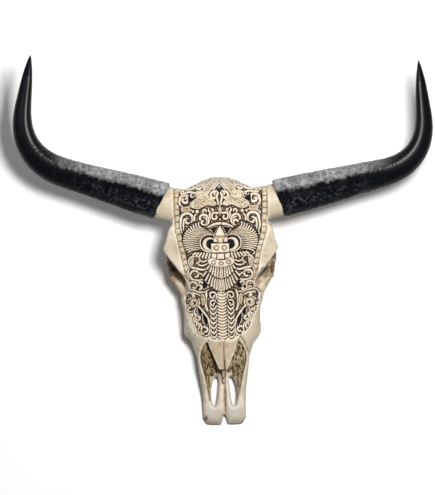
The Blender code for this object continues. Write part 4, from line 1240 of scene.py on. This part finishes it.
def round_nose_end(bone):
    """Rounds the bars beside the slits and the bulbs at the end, and parts the nasal tips by a wedge."""
    empty = empty_places(bone)
    corners, ways = in_skull_frame(bone)
    up = ways[:, 2]
    soft_up = smoothly((up + 0.2) / 0.6)
    room = np.clip((places(bone)[:, 2] / MM - NOSE_UNDERSIDE) / NOSE_THICK, 0, 1)
    for n in np.nonzero((corners[:, 1] < ROUNDED_FROM) & (up > -0.2))[0]:
        x, y = corners[n, :2]
        gap = np.min(np.hypot(empty[:, 0] - x, empty[:, 1] - y))
        share = 1 - min(gap / (ROUNDED_REACH + BULBS_REACH * float(smoothly((BULBS_FROM - y) / 16))), 1.0)
        start = float(smoothly((ROUNDED_FROM - y) / 16))
        corners[n, 2] -= ROUNDED_DROP * room[n] * float(soft_up[n]) * share ** 2 * start
    x, y = corners[:, 0], corners[:, 1]
    down = np.clip((WEDGE_TOP - y) / (WEDGE_TOP - WEDGE_END), 0, 1)
    wedge = np.exp(-((x - WEDGE_MIDDLE) / (0.8 + 1.7 * down ** 2)) ** 4) * (down > 0) * (y > WEDGE_END - 3)
    corners[:, 2] -= WEDGE_DEPTH * wedge * smoothly((up - 0.1) / 0.4) * (corners[:, 2] > -30)
    past = np.clip((TIP_FROM - y) / TIP_LENGTH, 0, 1)
    corners[:, 2] -= TIP_DROP * room * past ** 2 * soft_up
    put_back(bone, corners)
    return wedge


def under_brow(corners):
    """1 on the low bone that shows between the brow's edge and the outline, in the eye sockets, else 0."""
    x, y, z = corners.T
    along = smoothly((-146 - y) / 8) * smoothly((y + 212) / 14)
    return along * smoothly((-24 - z) / 10) * smoothly((np.abs(x) - 66) / 8)


def in_orbits(corners):
    """How deep each place lies in an eye socket: below 1 is inside it."""
    return np.min([np.linalg.norm((corners - orbit) / ORBIT_SPAN, axis=1) for orbit in ORBITS], axis=0)


def roughen_orbits(bone):
    """Lumps and pits on the walls of the eye sockets."""
    corners, ways = in_skull_frame(bone)
    inside = np.maximum(smoothly((1.12 - in_orbits(corners)) / 0.2), under_brow(corners))
    lumps = 1.9 * grain(corners, 8, 51) + 1.0 * grain(corners, 4.2, 52)
    put_back(bone, corners + ways * (lumps * inside)[:, None])


def stains_and_shade(corners, ways, socket):
    """Brown staining and painted shade: staining with painted shade in the eye sockets and the nose, painted
    shade underneath, on faces turned left and at the lower edge of the nose's end, and staining in patches and
    spots, of which the four on the cheeks are painted shade.
    """
    x, y, _ = corners.T
    left, _, up = ways.T
    nose = np.linalg.norm((corners - NOSE_CENTRE) / NOSE_SPAN, axis=1)
    # Staining with painted shade in the sockets and the nose; painted shade underneath, on faces turned left and
    # at the nose end's lower edge; staining in cloudy patches
    layers = [
        socket * (0.74 - 0.5 * grain(corners, 8, 51) - 0.2 * grain(corners, 3.4, 53)),
        smoothly((0.45 - up) / 0.4) * smoothly((1.1 - nose) / 0.25),
        smoothly((-up - 0.2) / 0.6) * 0.45,
        smoothly((grain(corners, 26, 33) - 0.42) / 0.4) * 0.3 + smoothly((-0.35 - left) / 0.5) * 0.16,
        0.55 * smoothly((-491 - y) / 6) * smoothly((0.6 - up) / 0.4),
    ]
    # Spots of dirt, except the four on the cheeks below the eye sockets, which are painted shade
    for spot, reach, share in DIRT_AND_SHADE_SPOTS:
        gap = np.hypot(x - spot[0], y - spot[1]) + 2.5 * grain(corners, 5, 56)
        layers.append(share * smoothly(1.3 - gap / reach))
    stain = np.max(layers, axis=0).clip(0)
    return stain + 0.3 * grain(corners, 7, 31) * (stain > 0.05)


def stain_and_shade_bone(bone):
    """Marks staining and painted shade, rust, dark seams with painted shade in the hollows, painted brown shade
    on the sides, painted highlights on rubbed crests, tan patches and the grey end of the nose.
    """
    wedge = round_nose_end(bone)
    roughen_orbits(bone)
    corners, ways = in_skull_frame(bone)
    x, y, _ = corners.T
    up = ways[:, 2]
    socket = np.maximum(smoothly((1.18 - in_orbits(corners)) / 0.3), under_brow(corners))
    deep = hollows(bone, 5)
    # Painted shade in the hollows, joined by the real dark seams and the dark gap of the wedge
    crease = smoothly((deep - 0.12) / 0.5) * 0.8
    for line in SEAMS:
        crease = np.maximum(crease, 1.3 * near_line(corners, line, 1.4) * smoothly((up - 0.1) / 0.3))
    crease = np.maximum(crease, smoothly((wedge - 0.3) / 0.4) / 0.85)
    # Painted highlight on convex crests that face up, partly wear, and weaker on the nose's end
    worn = smoothly((-deep - 0.05) / 0.35) * smoothly((up + 0.1) / 0.4)
    worn *= (0.45 + 0.5 * grain(corners, 9, 57)) * (1 - 0.8 * smoothly((-462 - y) / 14))
    # side is painted brown shade: on faces turned sideways or down, on the underside of the nose's end and
    # towards its tip
    side = np.max([
        smoothly((0.86 - up) / 0.8) * 0.62,
        0.8 * (smoothly((-482 - y) / 14) * smoothly((0.98 - up) / 0.3)),
        0.5 * smoothly((-484 - y) / 14),
    ], axis=0)
    side = side * (0.8 + 0.4 * grain(corners, 18, 39)) + 0.1 * smoothly(grain(corners, 3, 40) - 0.2)
    nasals = smoothly((34 - np.abs(x)) / 6) * smoothly((-318 - y) / 12) * smoothly((y + 392) / 6)
    brow = smoothly((x - 58) / 14) * smoothly((-66 - y) / 20) * smoothly((y + 340) / 40)
    tan = np.maximum(
        0.95 * nasals + smoothly((grain(corners, 34, 37) - 0.1) / 0.7) * 0.7,
        brow * (0.42 + 0.3 * grain(corners, 10, 58)))
    looks = {
        "rust": socket * smoothly((grain(corners, 6, 54) + 0.2) / 0.5),
        "stain": stains_and_shade(corners, ways, socket),
        "worn": np.clip(worn, 0, 1) * (1 - near_line(corners, SEAMS[0], 7)),
        "crease": crease * (0.85 + 0.35 * grain(corners, 5, 35)),
        "side": side,
        "pale": smoothly((-425 - y) / 40) * (0.45 + 0.4 * grain(corners, 12, 55)),
        "tan": np.minimum(tan, 0.9),
    }
    for look, values in looks.items():
        mark(bone, look, np.clip(values, 0, 1))


def add(tree, kind, **values):
    """A shader node with its inputs set by name."""
    made = tree.nodes.new(kind)
    for name, value in values.items():
        key = name.replace("_", " ")
        if key in made.inputs:
            made.inputs[key].default_value = value
        else:
            setattr(made, name, value)
    return made


def ramp(tree, source, *stops):
    """A colour ramp fed from source; each stop is a place and a grey or a colour."""
    made = tree.nodes.new("ShaderNodeValToRGB")
    elements = made.color_ramp.elements
    while len(elements) < len(stops):
        elements.new(0.5)
    for element, (place, colour) in zip(elements, stops):
        element.position = place
        element.color = (*colour, 1.0) if isinstance(colour, tuple) else (colour, colour, colour, 1.0)
    tree.links.new(source, made.inputs["Fac"])
    return made.outputs["Color"]


def mixed(tree, share, first, second, kind="MIX"):
    """Two colours mixed by a share; each is a socket or a colour."""
    made = add(tree, "ShaderNodeMix", data_type="RGBA", blend_type=kind)
    for socket, value in ((made.inputs[0], share), (made.inputs[6], first), (made.inputs[7], second)):
        if isinstance(value, (tuple, float)):
            socket.default_value = (*value, 1.0) if isinstance(value, tuple) else value
        else:
            tree.links.new(value, socket)
    return made.outputs[2]


def attribute(tree, name):
    """A corner value of the piece."""
    return add(tree, "ShaderNodeAttribute", attribute_name=name).outputs["Fac"]


def noise(tree, **look):
    """Noise on the piece's own coordinates."""
    made = add(tree, "ShaderNodeTexNoise", **look)
    tree.links.new(add(tree, "ShaderNodeTexCoord").outputs["Object"], made.inputs["Vector"])
    return made.outputs["Fac"]


def layered(tree, tone, *layers):
    """A tone with colours laid over it, each by a source (a socket or an attribute's name) and its stops."""
    for colour, source, *stops in layers:
        share = attribute(tree, source) if isinstance(source, str) else source
        if stops:
            share = ramp(tree, share, *stops)
        tone = mixed(tree, share, tone, colour)
    return tone


def new_material(name, **values):
    """An empty node material with its shader's plain values set, its tree and its shader."""
    made = bpy.data.materials.new(name)
    made.use_nodes = True
    shader = made.node_tree.nodes["Principled BSDF"]
    for key, value in values.items():
        shader.inputs[key.replace("_", " ")].default_value = value
    return made, made.node_tree, shader


def aged_outputs(tree, mottling):
    """The mottling's masks and height on the piece's own coordinates."""
    age = add(tree, "ShaderNodeGroup", node_tree=mottling)
    tree.links.new(add(tree, "ShaderNodeTexCoord").outputs["Object"], age.inputs["Vector"])
    return (age.outputs[name] for name in ("Clouds", "Specks", "Height"))


def dress(tree, shader, tone, height, strength, distance):
    """Links the colour and the small bumps of a surface to its shader."""
    bump = add(tree, "ShaderNodeBump", Strength=strength, Distance=distance)
    tree.links.new(height, bump.inputs["Height"])
    tree.links.new(bump.outputs["Normal"], shader.inputs["Normal"])
    tree.links.new(tone, shader.inputs["Base Color"])


def mottling_group():
    """Old bone's cloudy tone, fine pores and hairline speckles, as masks and a height."""
    group = bpy.data.node_groups.new("Bone mottling", "ShaderNodeTree")
    group.interface.new_socket("Vector", in_out="INPUT", socket_type="NodeSocketVector")
    for name in ("Clouds", "Specks", "Height"):
        group.interface.new_socket(name, in_out="OUTPUT", socket_type="NodeSocketFloat")
    start, end = group.nodes.new("NodeGroupInput"), group.nodes.new("NodeGroupOutput")
    link = group.links.new
    clouds = add(group, "ShaderNodeTexNoise", Scale=22, Detail=5, Roughness=0.6)
    specks = add(group, "ShaderNodeTexNoise", Scale=420, Detail=3, Roughness=0.7)
    pores = add(group, "ShaderNodeTexVoronoi", Scale=520)
    for texture in (clouds, specks, pores):
        link(start.outputs["Vector"], texture.inputs["Vector"])
    link(clouds.outputs["Fac"], end.inputs["Clouds"])
    link(ramp(group, specks.outputs["Fac"], (0.62, 0), (0.72, 1)), end.inputs["Specks"])
    height = add(group, "ShaderNodeMath", operation="MULTIPLY_ADD")
    link(pores.outputs["Distance"], height.inputs[0])
    height.inputs[1].default_value = 0.5
    link(specks.outputs["Fac"], height.inputs[2])
    link(height.outputs[0], end.inputs["Height"])
    return group


def bone_material(mottling):
    """Cream bone, cloudy tan in places, grey at the nose's end, with painted highlights on its crests, painted
    brown shade on its sides, undersides and hollows, and brown staining, rust and dark seams or cracks.
    """
    made, tree, shader = new_material("weathered_bone")
    clouds, specks, height = aged_outputs(tree, mottling)
    # The pale crest layer is a painted highlight, partly wear; the side layer is painted brown shade; the dark
    # hollow layers are painted shade with the real seams; the brown and black layers at the end hold staining
    # and painted shade
    tone = layered(
        tree, ramp(tree, clouds, (0.36, BONE_LIGHT), (0.56, BONE_MIDDLE), (0.72, BONE_TAN)),
        (BONE_TAN, "tan"),
        (BONE_GREY, "pale"),
        (BONE_WORN_HIGHLIGHT, "worn", (0, 0), (1, 0.8)),
        (SIDE_SHADE_BROWN, "side"),
        (GRIME_AND_SHADE, specks, (0, 0), (1, 0.4)),
        (GRIME_AND_SHADE, "crease", (0.1, 0), (0.9, 0.85)),
        (RUST, "rust"),
        (GRIME_AND_SHADE, "stain", (0.15, 0), (0.5, 0.5), (0.9, 0.95)),
        (BLACKENED_AND_SHADE, "stain", (0.8, 0), (1, 0.8)),
        (BLACKENED_AND_SHADE, "crease", (0.75, 0), (1, 0.8)),
    )
    tree.links.new(ramp(tree, clouds, (0.3, 0.48), (0.8, 0.66)), shader.inputs["Roughness"])
    dress(tree, shader, tone, height, 0.45, 0.8 * MM)
    return made


def carved_material(mottling):
    """Carved bone: dark patina in the cuts, painted shade in the holes, painted brown shade on the flanks,
    painted highlights on the rubbed crests and painted grey shade towards the crown.
    """
    made, tree, shader = new_material("carved_bone", Specular_IOR_Level=0.25)
    clouds, specks, height = aged_outputs(tree, mottling)
    level = attribute(tree, "height")
    # Dark patina in the cut ground and painted near black shade on the floors of the holes; painted brown shade
    # on the flanks and a painted highlight on the crests
    tone = ramp(tree, level, (0.02, PATINA_AND_HOLE_SHADE), (0.3, CUT_DARK), (0.5, CUT_BROWN), (0.68, BONE_TAN),
                (0.84, BONE_LIGHT), (1, BONE_WORN_HIGHLIGHT))
    # Painted grey shade towards the crown's edge
    tone = layered(tree, tone, (CROWN_SHADE_GREY, "bleached"))
    tone = mixed(tree, ramp(tree, clouds, (0.38, 0), (0.72, 0.75)), tone, CARVING_AGED, "MULTIPLY")
    # Brown specks of dirt; a painted highlight on the crests' edges, partly wear
    tone = layered(tree, tone, (CUT_BROWN, specks, (0, 0), (1, 0.3)),
                   (BONE_WORN_HIGHLIGHT, "edge", (0.1, 0), (0.5, 0.5)))
    tree.links.new(ramp(tree, level, (0.2, 0.8), (0.9, 0.46)), shader.inputs["Roughness"])
    dress(tree, shader, tone, height, 0.3, 0.5 * MM)
    return made


def spongy_material(mottling, name, tones):
    """Porous inner bone: dark in its pits, partly as painted shade, paler on its fibres."""
    made, tree, shader = new_material(name, Roughness=0.8, Specular_IOR_Level=0.2)
    clouds, specks, height = aged_outputs(tree, mottling)
    # Darker in the pits, partly painted shade
    tone = ramp(tree, attribute(tree, "depth"), *zip((0.1, 0.42, 0.9), tones))
    tone = mixed(tree, ramp(tree, clouds, (0.4, 0), (0.66, 0.8)), tone, SPONGE_AGED, "MULTIPLY")
    tone = layered(tree, tone, (tones[0], specks, (0, 0), (1, 0.7)))
    dress(tree, shader, tone, height, 0.8, 1.2 * MM)
    return made


def horn_material():
    """Black horn: dull and dusty in the rings, glossy towards the tip, with painted light on its dusty upper
    face, painted shade between the rings there, and a painted glint on its lower side near the root.
    """
    made, tree, shader = new_material(
        "black_horn", Roughness=0.42, Coat_Roughness=0.36, Specular_IOR_Level=0.05)
    along, ridge = attribute(tree, "along"), attribute(tree, "ridge")
    clouds = noise(tree, Scale=60, Detail=6, Roughness=0.65)
    flecks = noise(tree, Scale=75, Detail=6, Roughness=0.7, Distortion=1.6)
    glint = mixed(tree, 1.0, attribute(tree, "glint"), ramp(tree, flecks, (0.5, 0), (0.66, 0.9)), "MULTIPLY")
    # Chalky pale tones for the upper face, partly painted light
    chalk_and_light = ramp(tree, noise(tree, Scale=120, Detail=7, Roughness=0.72, Distortion=0.8), *CHALK_AND_LIGHT)
    # Painted shade in the grooves between the rings on the upper face
    worn = ramp(tree, ridge, (0.2, RING_SHADE), (0.55, 1))
    tone = layered(
        tree, ramp(tree, clouds, (0.35, HORN_BLACK), (0.75, HORN_BLUE)),
        (HORN_DUST, ridge, (0.55, 0), (1, 0.22)),
        (HORN_GLINT, glint),
        (mixed(tree, 0.35, chalk_and_light, worn, "MULTIPLY"), "facet", (0.1, 0), (0.9, 1)),
    )
    patches = ramp(tree, noise(tree, Scale=30, Detail=3, Roughness=0.5), (0.52, 0), (0.66, 0.3))
    gloss = mixed(tree, 1.0, patches, ramp(tree, along, (0.3, 0), (0.6, 0.42)), "LIGHTEN")
    tree.links.new(gloss, shader.inputs["Coat Weight"])
    wrinkles = noise(tree, Scale=95, Detail=6, Roughness=0.7, Distortion=1.5)
    height = mixed(tree, ramp(tree, along, (0.18, 1), (0.5, 0.04)), (0.5, 0.5, 0.5), wrinkles)
    dress(tree, shader, tone, height, 1, 3 * MM)
    return made


def give(obj, material, slot, *nodes):
    """Gives a finished piece its material and its body, and hides the solids it stands for; the slot is not
    used.
    """
    obj.data.materials.clear()
    obj.data.materials.append(material)
    if nodes:
        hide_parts(*nodes)
    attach(obj, "root")


def placed_in_scene(name, data):
    """A new object in the scene."""
    obj = bpy.data.objects.new(name, data)
    bpy.context.scene.collection.objects.link(obj)
    return obj


def camera():
    """Looks straight down on the forehead, framed and turned as the photo is."""
    data = bpy.data.cameras.new("photo_view")
    data.lens, data.sensor_width, data.clip_end = CAMERA_LENS, SENSOR_WIDTH, CLIP_END
    obj = placed_in_scene("photo_view", data)
    distance = CAMERA_LENS / SENSOR_WIDTH * FRAME_HEIGHT_MM * MM
    right = Vector((1, -PHOTO_ROLL, 0)).normalized()
    back = -DOWN
    turn = Matrix((right, back.cross(right), back)).transposed().to_4x4()
    obj.matrix_world = TO_FLOOR @ Matrix.Translation(VIEW_CENTRE + back * distance) @ turn
    bpy.context.scene.camera = obj


def lamp(name, place, aim, size, power, colour=(1, 1, 1)):
    """A soft square lamp."""
    data = bpy.data.lights.new(name, "AREA")
    data.shape, data.size, data.energy, data.color = "SQUARE", size, power, colour
    obj = placed_in_scene(name, data)
    obj.location = Vector(place)
    obj.rotation_euler = (Vector(aim) - Vector(place)).to_track_quat("-Z", "Y").to_euler()


def studio():
    """A pale floor under plain soft light from the upper right."""
    deselect_all()
    bpy.ops.mesh.primitive_plane_add(size=FLOOR_SIZE, location=(0, 0, 0))
    floor = bpy.context.active_object
    floor.name = "pale_floor"
    floor.data.materials.append(new_material("pale_floor", Base_Color=FLOOR_TONE, Roughness=0.9)[0])
    world = bpy.data.worlds.new("soft_room")
    bpy.context.scene.world = world
    world.use_nodes = True
    room = world.node_tree.nodes["Background"].inputs
    room["Color"].default_value = ROOM_TONE
    room["Strength"].default_value = ROOM_STRENGTH
    lamp("key", TO_FLOOR @ Vector(KEY_PLACE), TO_FLOOR @ Vector(KEY_AIM), 0.6, 117, (1, 0.995, 0.985))
    lamp("sheen", TO_FLOOR @ Vector(SHEEN_PLACE), (-0.3, 0.1, 0.1), 0.6, 3.2, (0.70, 0.83, 1))
    lamp("rim", (0.3, 2.4, 0.9), (0, 0.1, 0.1), 1.2, 18)
    bpy.context.scene.view_settings.view_transform = "Standard"


def main():
    """Makes every piece, dresses it and sets the stage."""
    bone = bone_body()
    panels = carved_panels(bone, carving())
    stain_and_shade_bone(bone)
    polish(bone)
    mottling = mottling_group()
    carved, black = carved_material(mottling), horn_material()
    give(bone, bone_material(mottling), "bone", *BONE_NODES)
    for plate in panels:
        give(plate, carved, "bone")
    for node, (look, tones, strength) in SPONGY_BONES.items():
        give(inner_bone(node, strength), spongy_material(mottling, look, tones), "inner_bone", node)
    for side in ("left", "right"):
        give(horn(side), black, "horn", "horn_" + side)
    camera()
    studio()


main()
